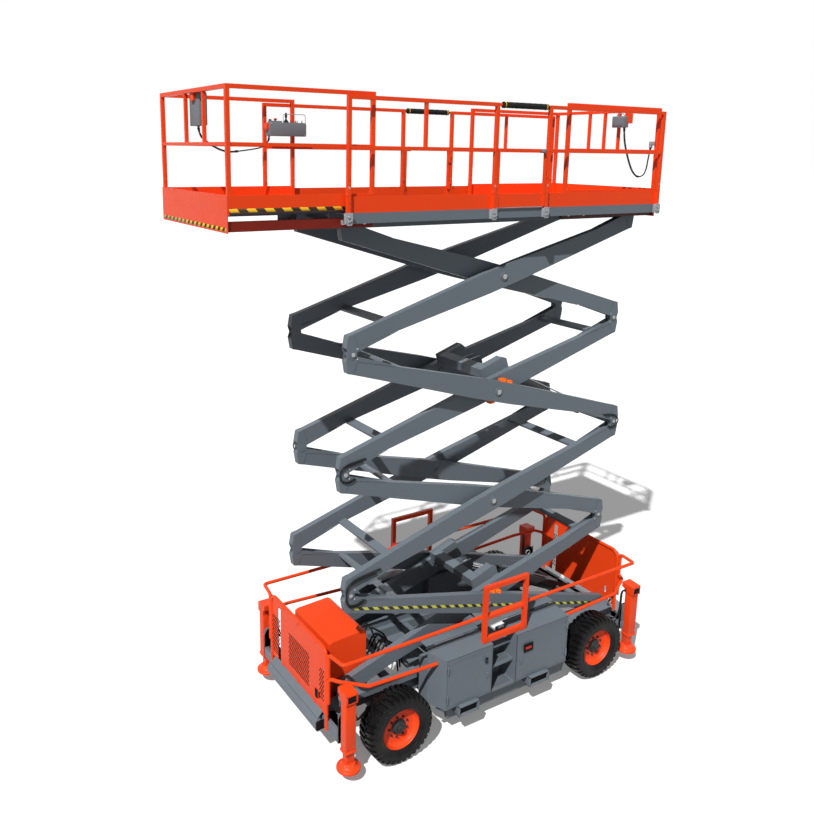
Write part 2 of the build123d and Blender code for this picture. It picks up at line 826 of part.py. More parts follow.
def arm_pair(chain, stage):
    """Both beams of one chain in one stage, with the cross tubes and pins that join them."""
    arm = ArmPlace(chain, stage)
    y0 = arm.y - arm_width / 2
    y1 = arm.y + arm_width / 2
    half_line = lower_half_line()
    line = half_line + [(link_length - u, -v) for u, v in half_line]
    side = arm.slab(line, y0, y1)
    for plate_y0, plate_y1 in ((y0, y0 + ear_side_thick), (y1 - ear_side_thick, y1)):
        side += arm.shaft(0, 0, ear_radius, plate_y0, plate_y1)
        side += arm.slab(ear_web, plate_y0, plate_y1)
    tongue_y0 = arm.y - ear_centre_thick / 2
    tongue_y1 = arm.y + ear_centre_thick / 2
    side += arm.shaft(link_length, 0, ear_radius, tongue_y0, tongue_y1)
    tongue = [(link_length - u, -v) for u, v in ear_web]
    side += arm.slab(tongue, tongue_y0, tongue_y1)
    lower_held = not (chain == "outer" and stage == 1)
    if lower_held:
        side += arm.shaft(0, 0, link_pin_radius, y0 - 8, y1 + 12)
        side += arm.shaft(0, 0, link_pin_radius + 10, y1, y1 + 8)
    else:
        side -= arm.shaft(0, 0, link_pin_radius + running_gap, y0 - 9, y1 + 13)
    if not (chain == "inner" and stage == stage_count):
        side -= arm.shaft(link_length, 0, link_pin_radius + running_gap, tongue_y0 - 1, tongue_y1 + 1)
    if chain == "outer":
        side += arm.shaft(link_length / 2, 0, centre_pin_radius, inner_arm_y - arm_width / 2 - 10, y1 + 12)
        side += arm.shaft(link_length / 2, 0, centre_pin_radius + 14, y1, y1 + 9)
    else:
        side -= arm.shaft(link_length / 2, 0, centre_pin_radius + running_gap, y0 - 1, y1 + 1)
    lower_tube, upper_tube = tubes[(chain, stage)]
    roller_y1 = track_outer_y - track_sheet - roller_end_gap
    half_width = cross_tube_width / 2
    if lower_tube:
        low = beam_centre(lower_tube) - edge_half(lower_tube)
        box = [
            (lower_tube - half_width, low),
            (lower_tube + half_width, low),
            (lower_tube + half_width, low + cross_tube_height),
            (lower_tube - half_width, low + cross_tube_height),
        ]
        side += arm.slab(box, 0, y0 + 1)
    if upper_tube:
        u = link_length - upper_tube
        high = beam_centre(u) + edge_half(u)
        box = [
            (u - half_width, high - cross_tube_height),
            (u + half_width, high - cross_tube_height),
            (u + half_width, high),
            (u - half_width, high),
        ]
        side += arm.slab(box, 0, y0 + 1)
    if chain == "inner" and stage in (1, 3):
        side += cylinder_head(arm, y0)
    if chain == "outer" and stage == 3:
        side += arm.shaft(0, 0, cylinder_shaft_radius, 0, y0)
    if chain == "inner" and stage == 1:
        side += arm.shaft(0, 0, link_pin_radius, y1, roller_y1 - 3)
        side += arm.shaft(0, 0, foot_roller_radius, y1 + 4, roller_y1)
    if chain == "inner" and stage == stage_count:
        side += arm.shaft(link_length, 0, link_pin_radius, tongue_y0, roller_y1 - 3)
        side += arm.shaft(link_length, 0, foot_roller_radius, y1 + 4, roller_y1)
    return both_sides(side)


head_gap = 52


def cylinder_head(arm, beam_y):
    """Torque tube, side blocks and fork plates that take a lift cylinder's thrust."""
    u, v = cylinder_eye_u, cylinder_eye_v
    cheek_y = beam_y - panel_gap  # the next stage's beam comes down beside the cheeks
    tube_box = [(u - 230, v), (u - 110, v), (u - 110, v + 118), (u - 230, v + 118)]
    head = arm.slab(tube_box, 0, cheek_y - 1)
    cheek = [(u - 240, 60), (u + 160, 60), (u + 160, v + 90), (u + 110, v + 128), (u - 240, v + 128)]
    head += arm.slab(cheek, beam_y - 34, cheek_y)
    foot = [(u - 240, 60), (u + 160, 60), (u + 160, mid_half - 20), (u - 240, mid_half - 20)]
    head += arm.slab(foot, cheek_y - 1, beam_y + 2)
    block_box = [(u - 110, v + 20), (u + 120, v + 20), (u + 150, v + 60), (u + 110, v + 122), (u - 110, v + 122)]
    head += arm.slab(block_box, beam_y - 120, cheek_y - 1)
    plate = [(u - 120, v - 60), (u + 20, v - 70), (u + 70, v), (u + 60, v + 80), (u - 120, v + 110)]
    return head + arm.slab(plate, head_gap, head_gap + 22)


# --- Lift cylinders -----------------------------------------------------------------------
def cylinder_line(stage):
    """Foot and rod eye of the cylinder below the head of an inner arm, in (x, z)."""
    arm = ArmPlace("inner", stage)
    eye = arm.at(cylinder_eye_u, cylinder_eye_v)
    foot = (fixed_x, base_pivot_z + (stage - 1) * stage_rise)
    return foot, eye


def along_cylinder(stage, shape):
    """Moves a shape drawn along +Z from the foot onto the cylinder's line."""
    foot, eye = cylinder_line(stage)
    lean = degrees(atan2(eye[0] - foot[0], eye[1] - foot[1]))
    return Pos(foot[0], 0, foot[1]) * Rot(0, lean, 0) * shape


def cylinder_barrel(stage):
    """Barrel with its foot eye, open bore and gland."""
    barrel = Pos(0, 0, barrel_length / 2 + 40) * Cylinder(barrel_radius, barrel_length - 80)
    barrel += Pos(0, 0, barrel_length - 40) * Cylinder(barrel_radius + 8, 80)
    foot_eye = Rot(90, 0, 0) * Cylinder(cylinder_shaft_radius + 22, 96)
    barrel += foot_eye + Pos(0, 0, 60) * Box(104, 92, 90)
    barrel -= Rot(90, 0, 0) * Cylinder(cylinder_shaft_radius + running_gap, 100)
    barrel -= Pos(0, 0, 120 + (barrel_length - 190) / 2) * Cylinder(barrel_bore, barrel_length - 190)
    barrel -= Pos(0, 0, barrel_length) * Cylinder(rod_radius + running_gap, 400)
    return along_cylinder(stage, barrel)


def cylinder_rod(stage):
    """Rod with its piston and eye."""
    foot, eye = cylinder_line(stage)
    reach = hypot(eye[0] - foot[0], eye[1] - foot[1])
    rod = Pos(0, 0, reach - rod_length / 2) * Cylinder(rod_radius, rod_length)
    rod += Pos(0, 0, reach - rod_length + 20) * Cylinder(barrel_bore - running_gap, 40)
    rod += Pos(0, 0, reach) * Rot(90, 0, 0) * Cylinder(50, 92)
    rod -= Pos(0, 0, reach) * Rot(90, 0, 0) * Cylinder(26, 100)
    return along_cylinder(stage, rod)


# --- Platform -----------------------------------------------------------------------------
floor_thick = 10
web_thick = 12
board_thick = 5
board_face_y = main_rail_y - tube / 2  # outer face of the toe boards, inner face of the posts
joist_depth = 28
flange = 46
upper_flange_z = top_pivot_z + foot_roller_radius + running_gap
lower_flange_z = top_pivot_z - foot_roller_radius - panel_gap
beam_y0 = 800
beam_y1 = 840
post_places = (
    # side, x of each full-height post of the main deck
    (-1, (deck_front_x + tube / 2, gate_front_x - tube / 2, gate_rear_x + tube / 2, deck_rear_x - tube / 2)),
    (1, (deck_front_x + tube / 2, -gate_rear_x - tube / 2, -gate_front_x + tube / 2, deck_rear_x - tube / 2)),
)


def platform_frame():
    """Floor, side channels, joists, roller tracks and pivot lugs under the main deck."""
    x0, x1 = deck_front_x, deck_rear_x
    under = deck_z - floor_thick
    side = block(x0, x1, board_face_y - web_thick, board_face_y, channel_bottom_z, under)
    side += block(x0, x1, board_face_y - flange, board_face_y, channel_bottom_z, channel_bottom_z + 8)
    web_y = track_outer_y - track_sheet
    side += block(x0, x1, web_y, track_outer_y, lower_flange_z - track_sheet, under)
    for z in (lower_flange_z - track_sheet, upper_flange_z):
        side += block(x0, x1, track_lip_y, track_outer_y, z, z + track_sheet)
    side -= block(fixed_x - 120, x1 + 1, track_lip_y - 1, web_y, lower_flange_z - 20, upper_flange_z)
    lug_line = (
        (fixed_x - 44, top_pivot_z),
        (fixed_x + 44, top_pivot_z),
        (fixed_x + 80, under),
        (fixed_x - 80, under),
    )
    y0 = outer_arm_y - arm_width / 2
    y1 = outer_arm_y + arm_width / 2
    for plate_y0, plate_y1 in ((y0, y0 + ear_side_thick), (y1 - ear_side_thick, y1)):
        side += slab(lug_line, plate_y0, plate_y1)
        side += shaft(fixed_x, top_pivot_z, ear_radius, plate_y0, plate_y1)
    side += shaft(fixed_x, top_pivot_z, link_pin_radius, y0 - 4, y1 + 12)
    for x in (-1700, -1000, -330, 330, 1000, 1700):
        side += block(x - 20, x + 20, 0, board_face_y - web_thick, under - joist_depth, under)
    frame = both_sides(side) + block(x0, x1, -board_face_y, board_face_y, under, deck_z)
    for sign, places in post_places:
        for x in places:
            frame += block(
                x - tube / 2,
                x + tube / 2,
                sign * board_face_y,
                sign * (board_face_y + tube),
                channel_bottom_z,
                lug_top_z,
            )
    return frame


def toe_boards():
    """Upright boards along both sides of the main deck, left open at the gates."""
    boards = None
    for sign, places in post_places:
        for x0, x1 in ((deck_front_x, places[1] + tube / 2), (places[2] - tube / 2, deck_rear_x)):
            y0, y1 = sign * (board_face_y - board_thick), sign * board_face_y
            board = block(x0, x1, y0, y1, deck_z, deck_z + toe_height)
            boards = board if boards is None else boards + board
    return boards


def guard_rail(side):
    """Main-deck rails on one side, with posts beside the gate."""
    y = side * main_rail_y
    top = rail_z - tube / 2
    places = post_places[0][1] if side < 0 else post_places[1][1]
    strut_x = side * 1309
    rails = None
    for x0, x1 in (places[:2], places[2:]):
        run = square_bar((x0 - tube / 2, y, top), (x1 + tube / 2, y, top), tube)
        run += square_bar((x0, y, mid_rail_z), (x1, y, mid_rail_z), tube)
        for x in (x0, x1):
            run += square_bar((x, y, lug_top_z), (x, y, top), tube)
        rails = run if rails is None else rails + run
    _, _, hinge_x, way = gate_span(side)
    pin_x = hinge_x + way * gate_hinge_in
    pin_y = side * (main_rail_y - gate_tube / 2 - gate_hinge_in)
    for z in gate_hinge_z:
        rails += post(pin_x, pin_y, 9, z + 30 + running_gap, z + 58)
        rails += block(hinge_x - way * 20, pin_x, side * board_face_y, pin_y, z + 32, z + 56)
    bar_x = hinge_x + way * bar_hinge_in
    for inner in (-1, 1):
        ear_y = y + inner * (bar_core_radius + running_gap)
        rails += block(hinge_x, bar_x + way * 12, ear_y, ear_y + inner * 4, top - 12, top + 12)
    rails += shaft(bar_x, top, bar_pin_radius, y - bar_core_radius - 1, y + bar_core_radius + 1)
    return rails + square_bar((strut_x, y, mid_rail_z), (strut_x, y, top), tube - 6)


mid_rail_z = deck_z + 605
gate_bar_radius = 33
gate_tube = 30
gate_hinge_in = 12  # hinge line inboard of the leaf's inner face
gate_bottom_z = deck_z + 12
gate_hinge_z = (gate_bottom_z + 130, mid_rail_z - 130)
bar_hinge_in = 20  # lift bar's hinge line, from the face of its post
bar_core_radius = 13
bar_pin_radius = 5


def gate_span(side):
    """Front and rear x between the posts, the hinge's x and the way the leaf runs from it."""
    x0, x1 = (gate_front_x, gate_rear_x) if side < 0 else (-gate_rear_x, -gate_front_x)
    return (x0, x1, x0, 1) if side < 0 else (x0, x1, x1, -1)


def gate(side):
    """Half-height swing gate with its toe plate, hinged on one post."""
    x0, x1, hinge_x, way = gate_span(side)
    y = side * main_rail_y
    front_x, rear_x = x0 + panel_gap, x1 - panel_gap
    half = gate_tube / 2
    leaf = square_bar((front_x, y, mid_rail_z), (rear_x, y, mid_rail_z), gate_tube)
    for x in (front_x + half, rear_x - half):
        leaf += square_bar((x, y, gate_bottom_z), (x, y, mid_rail_z), gate_tube)
    leaf += block(front_x, rear_x, y - 4, y + 4, gate_bottom_z, deck_z + toe_height)
    pin_x = hinge_x + way * gate_hinge_in
    pin_y = side * (main_rail_y - half - gate_hinge_in)
    for z in gate_hinge_z:
        leaf += post(pin_x, pin_y, 9, z - 30, z + 30)
        strap_y = side * (main_rail_y - half)
        leaf += block(pin_x, pin_x + way * 30, pin_y - side * 4, strap_y, z - 26, z + 26)
    return leaf


def gate_bar(side):
    """Padded bar across the top of the gateway, lifted to step in."""
    x0, x1, hinge_x, way = gate_span(side)
    y = side * main_rail_y
    top = rail_z - tube / 2
    pad = (hinge_x + way * 45, hinge_x + way * (x1 - x0 - 30))
    core = (hinge_x + way * panel_gap, hinge_x + way * (x1 - x0 - running_gap))
    bar = None
    for (start, finish), radius in ((pad, gate_bar_radius), (core, bar_core_radius)):
        turned = Rot(0, 90, 0) * Cylinder(radius, abs(finish - start))
        piece = Pos((start + finish) / 2, y, top) * turned
        bar = piece if bar is None else bar + piece
    pin_room = bar_core_radius + panel_gap
    return bar - shaft(hinge_x + way * bar_hinge_in, top, bar_pin_radius + running_gap, y - pin_room, y + pin_room)


def roll_out_deck(end):
    """Roll-out deck: floor, side boards, runner beams, wear strips and the end plate."""
    inner_x = front_deck_x if end < 0 else rear_deck_x
    outer_x = inner_x + end * extension_length
    floor_z = deck_z + extension_floor_gap
    rail_out = extension_rail_y + tube / 2
    side = block(inner_x, outer_x, 0, rail_out + board_thick, floor_z, floor_z + 8)
    side += block(inner_x, outer_x, rail_out, rail_out + board_thick, floor_z, floor_z + toe_height + 20)
    side += block(inner_x, outer_x, beam_y0, beam_y1, extension_bottom_z, extension_bottom_z + 92)
    side += block(inner_x, outer_x, 700, 730, deck_z + running_gap, floor_z)
    side += block(
        outer_x - end * end_plate,
        outer_x,
        0,
        rail_out + board_thick,
        extension_bottom_z - 10,
        extension_plate_z,
    )
    for y in (190, 560):
        rib = (
            (outer_x - end * 7, floor_z + 7),
            (outer_x - end * 120, floor_z + 7),
            (outer_x - end * 7, extension_plate_z - 20),
        )
        side += slab(rib, y - 4, y + 4)
    return both_sides(side)


def roll_out_rail(end):
    """Three-sided guard rail that rides with a roll-out deck."""
    inner_x = (front_deck_x if end < 0 else rear_deck_x) + end * tube / 2
    outer_x = inner_x + end * (extension_length - tube - end_plate)
    base = deck_z + extension_floor_gap + 8
    top = extension_rail_z - tube / 2
    middle = deck_z + 620
    y = extension_rail_y
    side = square_bar((inner_x - end * tube / 2, y, top), (outer_x + end * tube / 2, y, top), tube)
    side += square_bar((inner_x, y, middle), (outer_x, y, middle), tube - 6)
    for x in (inner_x, outer_x):
        side += square_bar((x, y, base), (x, y, top), tube)
    side += square_bar((outer_x, 0, top), (outer_x, y, top), tube)
    side += square_bar((outer_x, 0, middle), (outer_x, y, middle), tube - 6)
    rail = both_sides(side)
    for y_strut in (-304, 165) if end < 0 else (-239, -5, 254):
        rail += square_bar((outer_x, y_strut, middle), (outer_x, y_strut, top), tube - 6)
    return rail if end < 0 else rail + outlet_box(outer_x - tube / 2)


def outlet_box(rail_face_x):
    """Outlet box with its bracket on the rear end rail, and the hose coupling on the near post."""
    box = block(rail_face_x - 84, rail_face_x, -398, -220, 7015, 7142)
    bracket = block(rail_face_x - 8, rail_face_x, -466, -346, 7060, 7199)
    coupling = block(rail_face_x - 36, rail_face_x, -extension_rail_y, -776, 6795, 6840)
    sleeves = gland(hose_route[0], hose_route[1], hose_diameter)
    sleeves += gland(hose_route[-1], hose_route[-2], hose_diameter)
    return box + bracket + coupling + sleeves


def junction_box():
    """Tall box behind the front end rail that the control cable comes from."""
    x0 = front_deck_x - (extension_length - tube - end_plate) + running_gap
    box = block(x0, x0 + 78, -136, 118, 6893, 7200)
    return box + gland(cable_route[0], cable_route[1], cable_diameter)


def control_box():
    """Control box hooked on the front deck's right-hand rail, and the box that feeds it."""
    y1 = extension_rail_y - tube / 2 - running_gap
    box = block(-2212, -1767, y1 - 120, y1, 6830, 6975)
    box += block(-2190, -2060, y1 - 110, y1 - 10, 6975, 6992)
    box += post(-1990, y1 - 60, 14, 6975, 7085)
    box += gland(cable_route[-1], cable_route[-2], cable_diameter)
    return box + junction_box()


def engine_block():
    """Engine, as one plain mass in the right-hand rear cabinet."""
    return block(220, 860, 740, 1050, cabinet_bottom_z + sheet, 900)


def oil_tank():
    """Hydraulic tank in the left-hand front cabinet."""
    return block(-900, -380, -1040, -740, cabinet_bottom_z + sheet, 860)


# --- Assembly -----------------------------------------------------------------------------
def nodes():
    """Every node by name."""
    made = {
        "chassis_frame": chassis_frame(),
        "front_axle": front_axle(),
        "rear_axle": rear_axle(),
        "outrigger_housings": outrigger_housings(),
        "front_guard": end_guard(-1),
        "rear_guard": end_guard(1),
        "base_rails": base_rails(),
        "entry_frames": entry_frames(),
        "left_gate_bar": gate_bar(-1),
        "right_gate_bar": gate_bar(1),
        "front_bumper": front_bumper(),
        "hood_box": hood_box(),
        "right_cabinets": side_cabinets(),
        "fork_pockets": fork_pockets(),
        "engine_block": engine_block(),
        "oil_tank": oil_tank(),
        "left_knuckle": knuckle(-1),
        "right_knuckle": knuckle(1),
        "platform_frame": platform_frame(),
        "toe_boards": toe_boards(),
        "left_guard_rail": guard_rail(-1),
        "right_guard_rail": guard_rail(1),
        "left_gate": gate(-1),
        "right_gate": gate(1),
        "front_deck": roll_out_deck(-1),
        "front_deck_rail": roll_out_rail(-1),
        "rear_deck": roll_out_deck(1),
        "rear_deck_rail": roll_out_rail(1),
        "control_box": control_box(),
        "control_cable": cord("control_cable", cable_route, cable_diameter),
        "outlet_hose": cord("outlet_hose", hose_route, hose_diameter),
    }
    made["left_cabinets"] = mirror(made["right_cabinets"], about=Plane.XZ)
    for name, x0, x1, hinge_x in door_frames:
        door = cabinet_door(x0, x1, hinge_x)
        made[f"right_{name}_door"] = door
        made[f"left_{name}_door"] = mirror(door, about=Plane.XZ)
    for name, end, side in CORNERS:
        made[f"{name}_tyre"] = tyre(end * axle_x, side)
        made[f"{name}_rim"] = rim(end * axle_x, side)
        made[f"{name}_leg"] = outrigger_leg(end, side)
    for stage in range(1, stage_count + 1):
        for chain in ("outer", "inner"):
            made[f"{chain}_arms_{stage}"] = arm_pair(chain, stage)
    for name, stage in (("lower", 1), ("upper", 3)):
        made[f"{name}_cylinder_barrel"] = cylinder_barrel(stage)
        made[f"{name}_cylinder_rod"] = cylinder_rod(stage)
    return made


def main():
    """Builds every node and writes one STEP file for each."""
    os.makedirs("parts", exist_ok=True)
    for name, shape in nodes().items():
        export_step(shape, f"parts/{name}.step")


main()
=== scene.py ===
"""Looks of a rough-terrain scissor lift with two roll-out decks, built around its CAD frame.

Metres, in the frame's own axes: front = -X, left = -Y, up = +Z. CAD nodes that already have the
right shape keep it and get a finish; wheels, outrigger housings and legs, scissor arms, the control
box and the soft parts get detailed pieces in their place, and small fittings are added to the rest.
"""

from __future__ import annotations

import json
import logging
import math
from dataclasses import dataclass, field
from enum import Enum
from typing import Any, Iterable, Sequence

import bmesh
import bpy
from mathutils import Matrix, Vector

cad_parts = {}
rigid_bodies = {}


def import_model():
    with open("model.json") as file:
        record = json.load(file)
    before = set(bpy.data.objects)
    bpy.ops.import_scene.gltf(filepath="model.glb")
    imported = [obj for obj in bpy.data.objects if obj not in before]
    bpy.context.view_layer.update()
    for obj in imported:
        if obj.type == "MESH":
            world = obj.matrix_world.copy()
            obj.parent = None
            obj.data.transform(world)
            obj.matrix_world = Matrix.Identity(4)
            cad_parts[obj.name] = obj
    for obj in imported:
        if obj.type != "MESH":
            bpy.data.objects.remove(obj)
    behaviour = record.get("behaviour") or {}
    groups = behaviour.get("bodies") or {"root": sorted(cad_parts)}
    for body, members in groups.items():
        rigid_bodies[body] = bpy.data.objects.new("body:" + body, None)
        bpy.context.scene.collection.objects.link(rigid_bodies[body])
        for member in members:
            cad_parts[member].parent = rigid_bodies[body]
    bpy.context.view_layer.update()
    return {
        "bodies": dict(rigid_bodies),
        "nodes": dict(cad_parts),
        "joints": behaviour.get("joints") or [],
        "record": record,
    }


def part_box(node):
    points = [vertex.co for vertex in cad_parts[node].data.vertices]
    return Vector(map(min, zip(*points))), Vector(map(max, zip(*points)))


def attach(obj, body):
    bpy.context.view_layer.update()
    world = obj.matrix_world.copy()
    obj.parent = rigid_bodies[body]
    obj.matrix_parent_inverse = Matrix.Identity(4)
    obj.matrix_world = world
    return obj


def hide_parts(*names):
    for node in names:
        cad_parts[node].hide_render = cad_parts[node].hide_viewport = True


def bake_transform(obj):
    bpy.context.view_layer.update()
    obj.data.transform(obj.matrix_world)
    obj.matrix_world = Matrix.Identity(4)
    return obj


LOG = logging.getLogger("scissor_lift")
Point = Sequence[float]
Colour = tuple[float, float, float]
SIDES = (("left", -1), ("right", 1))
ENDS = (("front", -1), ("rear", 1))
ORIGIN = (0.0, 0.0, 0.0)
UP = (0, 0, 1)
DOWN = (0, 0, -1)
MIX_COLOURS = (6, 7)  # the Mix node's colour sockets
MIX_RESULT = 2
ROW_SHARE = 0.866  # how far apart staggered rows are, as a share of their pitch


# --- Finishes ---
class Pattern(Enum):
    """The colouring of a finish."""

    PLAIN = "plain"
    STRIPES = "stripes"


class NodeGraph:
    """A node tree, with short calls to add and join its nodes."""

    def __init__(self, tree: bpy.types.NodeTree) -> None:
        """Works on the given tree."""
        self.tree = tree

    def add(self, kind: str, **settings: Any) -> bpy.types.Node:
        """Adds a node.

        Args:
            kind: The node's type.
            **settings: Properties of the node to set.

        Returns:
            The new node.
        """
        node = self.tree.nodes.new(kind)
        for key, value in settings.items():
            setattr(node, key, value)
        return node

    def join(self, source: Any, node: bpy.types.Node, socket: str | int) -> None:
        """Feeds a socket.

        Args:
            source: An output to join it to, or a plain value to set.
            node: The node that has the socket.
            socket: The socket's name or number.
        """
        if isinstance(source, bpy.types.NodeSocket):
            self.tree.links.new(source, node.inputs[socket])
        else:
            node.inputs[socket].default_value = source

    def maths(self, operation: str, first: Any, second: Any = 0.0) -> Any:
        """One sum on two values.

        Args:
            operation: The sum.
            first: The first value or output.
            second: The second value or output.

        Returns:
            The output with the result.
        """
        node = self.add("ShaderNodeMath", operation=operation)
        self.join(first, node, 0)
        self.join(second, node, 1)
        return node.outputs[0]

    def spread(self, source: Any, low: float, high: float, out_low: float, out_high: float) -> Any:
        """Maps a value's range onto another one, clamped.

        Args:
            source: The value or output.
            low: Start of its range.
            high: End of its range.
            out_low: What the start becomes.
            out_high: What the end becomes.

        Returns:
            The output with the result.
        """
        node = self.add("ShaderNodeMapRange")
        for socket, value in enumerate((source, low, high, out_low, out_high)):
            self.join(value, node, socket)
        return node.outputs[0]


class ShaderGraph(NodeGraph):
    """The nodes of one material."""

    def __init__(self, name: str) -> None:
        """Starts a material of this name with a Principled surface."""
        self.material = bpy.data.materials.new(name)
        self.material.use_nodes = True
        super().__init__(self.material.node_tree)
        self.surface = self.tree.nodes["Principled BSDF"]
        self.place = self.add("ShaderNodeTexCoord").outputs["Object"]

    def noise(self, scale: float, detail: float) -> Any:
        """Noise over the object's coordinates, as a factor from 0 to 1.

        Args:
            scale: How fine it is.
            detail: How many octaves it has.

        Returns:
            The output with the factor.
        """
        node = self.add("ShaderNodeTexNoise")
        self.join(self.place, node, "Vector")
        self.join(scale, node, "Scale")
        self.join(detail, node, "Detail")
        return node.outputs["Fac"]

    def blend(self, share: Any, first: Any, second: Any) -> Any:
        """Mixes two colours by a share.

        Args:
            share: How much of the second colour there is.
            first: The first colour or output.
            second: The second colour or output.

        Returns:
            The output with the mix.
        """
        node = self.add("ShaderNodeMix", data_type="RGBA")
        self.join(share, node, "Factor")
        for socket, source in zip(MIX_COLOURS, (first, second)):
            self.join((*source, 1.0) if isinstance(source, tuple) else source, node, socket)
        return node.outputs[MIX_RESULT]


@dataclass(frozen=True)
class Finish:
    """One paint, metal, moulding or rubber, with the wear that it shows."""

    name: str
    colour: Colour
    roughness: float
    pattern: Pattern = Pattern.PLAIN
    metallic: float = 0.0
    specular: float = 0.17
    bare: Colour = (0.30, 0.30, 0.31)
    wear: float = 0.35
    dust: float = 0.25
    grain: float = 180.0
    relief: float = 0.0006
    second: Colour = (0.012, 0.012, 0.012)
    stripe: float = 0.11
    shade_depth: float = 0.10
    shade_tint: float = 0.62
    dust_colour: Colour = (0.36, 0.33, 0.29)
    dust_heights: tuple[float, float] = (1.1, 0.1)
    edge_radius: float = 0.004
    edge_cosines: tuple[float, float] = (0.985, 0.85)
    bump: float = 0.35

    def material(self) -> bpy.types.Material:
        """Returns the finish's material, made once and then reused."""
        made = bpy.data.materials.get(self.name)
        if made is not None:
            return made
        graph = ShaderGraph(self.name)
        base = self._base(graph)
        shade = graph.spread(graph.noise(2.3, 4.0), 0.3, 0.7, 0.0, self.shade_depth)
        darker = tuple(self.shade_tint * c for c in self.colour)
        colour = graph.blend(shade, base, darker)
        edge_normal, edge = self._edges(graph)
        if self.wear > 0:
            chips = graph.spread(graph.noise(46.0, 6.0), 0.48, 0.66, 0.0, self.wear)
            colour = graph.blend(graph.maths("MULTIPLY", edge, chips), colour, self.bare)
        if self.dust > 0:
            colour = self._dusty(graph, colour)
        matt = graph.spread(
            graph.noise(31.0, 5.0), 0.3, 0.7, self.roughness - 0.07, self.roughness + 0.09
        )
        bump = graph.add("ShaderNodeBump")
        for socket, source in (
            ("Strength", self.bump), ("Distance", self.relief),
            ("Height", graph.noise(self.grain, 2.0)), ("Normal", edge_normal),
        ):
            graph.join(source, bump, socket)
        for socket, source in (
            ("Metallic", self.metallic), ("Specular IOR Level", self.specular),
            ("Base Color", colour), ("Roughness", matt), ("Normal", bump.outputs[0]),
        ):
            graph.join(source, graph.surface, socket)
        return graph.material

    def _base(self, graph: ShaderGraph) -> Any:
        """The plain colour, or slanted stripes for a tape.

        Args:
            graph: The material's graph.

        Returns:
            A colour or an output.
        """
        if self.pattern is not Pattern.STRIPES:
            return self.colour
        apart = graph.add("ShaderNodeSeparateXYZ")
        graph.join(graph.place, apart, 0)
        slant = graph.maths("ADD", apart.outputs[0], graph.maths("MULTIPLY", apart.outputs[2], 0.8))
        slant = graph.maths("ADD", slant, apart.outputs[1])
        turn = graph.maths("FRACT", graph.maths("DIVIDE", slant, self.stripe))
        return graph.blend(graph.maths("GREATER_THAN", turn, 0.5), self.colour, self.second)

    def _edges(self, graph: ShaderGraph) -> tuple[Any, Any]:
        """A slightly rounded normal, and a mask that is 1 on hard edges.

        Args:
            graph: The material's graph.

        Returns:
            The outputs with the normal and the mask.
        """
        bevel = graph.add("ShaderNodeBevel", samples=4)
        graph.join(self.edge_radius, bevel, "Radius")
        straight = graph.add("ShaderNodeNewGeometry").outputs["Normal"]
        dot = graph.add("ShaderNodeVectorMath", operation="DOT_PRODUCT")
        graph.join(bevel.outputs[0], dot, 0)
        graph.join(straight, dot, 1)
        mask = graph.spread(dot.outputs["Value"], *self.edge_cosines, 0.0, 1.0)
        return bevel.outputs[0], mask

    def _dusty(self, graph: ShaderGraph, colour: Any) -> Any:
        """Pale dust that thins out with height above the ground.

        Args:
            graph: The material's graph.
            colour: The colour without dust.

        Returns:
            The output with the dusty colour.
        """
        apart = graph.add("ShaderNodeSeparateXYZ")
        graph.join(graph.place, apart, 0)
        low = graph.spread(apart.outputs[2], *self.dust_heights, 0.0, self.dust)
        patchy = graph.spread(graph.noise(9.0, 6.0), 0.35, 0.7, 0.0, 1.0)
        return graph.blend(graph.maths("MULTIPLY", low, patchy), colour, self.dust_colour)


ORANGE = Finish("orange_paint", (0.90, 0.064, 0.008), 0.40, wear=0.12, dust=0.08)
GREY = Finish("grey_paint", (0.142, 0.170, 0.196), 0.42, wear=0.16, dust=0.10)
DARK = Finish("black_paint", (0.020, 0.021, 0.024), 0.5, wear=0.2, dust=0.1)
TREAD = Finish(
    "tyre_rubber", (0.005, 0.005, 0.0055), 0.36, specular=0.12, wear=0.0, dust=0.03, grain=90.0,
    relief=0.0010,
)
CHROME = Finish(
    "chrome_rod", (0.62, 0.63, 0.65), 0.16, metallic=1.0, wear=0.0, dust=0.1, relief=0.0001
)
STEEL = Finish("zinc_steel", (0.36, 0.36, 0.36), 0.42, metallic=0.85, wear=0.0)
IRON = Finish("cast_iron", (0.07, 0.07, 0.07), 0.7, metallic=0.5, grain=60.0, relief=0.002)
BOX_GREY = Finish("grey_moulding", (0.175, 0.195, 0.215), 0.5, wear=0.1, grain=320.0, relief=0.0008)
PALE = Finish("pale_zinc_paint", (0.36, 0.38, 0.40), 0.45, wear=0.2)
SHEATH = Finish("black_sheath", (0.010, 0.010, 0.011), 0.42, wear=0.0, grain=260.0, relief=0.0004)
FOAM = Finish(
    "black_foam", (0.013, 0.014, 0.014), 0.85, wear=0.0, dust=0.1, grain=420.0, relief=0.0022
)
YELLOW = Finish("yellow_cap", (0.78, 0.52, 0.02), 0.5, wear=0.0, dust=0.0)
RED = Finish("red_button", (0.62, 0.02, 0.015), 0.35, wear=0.0, dust=0.0)
HAZARD = Finish("hazard_tape", (0.85, 0.50, 0.03), 0.45, Pattern.STRIPES, wear=0.0, dust=0.1)
WIDE_HAZARD = Finish(
    "wide_hazard_tape", (0.85, 0.50, 0.03), 0.45, Pattern.STRIPES, wear=0.0, dust=0.1, stripe=0.175
)
ARM_TAPE = Finish(
    "faded_hazard_tape", (0.62, 0.62, 0.10), 0.5, Pattern.STRIPES, wear=0.0, dust=0.1, stripe=0.105
)
CLAMP = Finish("orange_moulding", (0.95, 0.16, 0.01), 0.45, wear=0.0, dust=0.1)
# Near black. It is painted shade in openings (guard holes and slot, bumper and fork tube mouths,
# outrigger head windows and door handle pockets), and the dark of door seams.
OPENING_SHADE_AND_SEAMS = Finish("opening_shade_and_seams", (0.006, 0.006, 0.007), 0.8, specular=0.1, wear=0.0, dust=0.0)


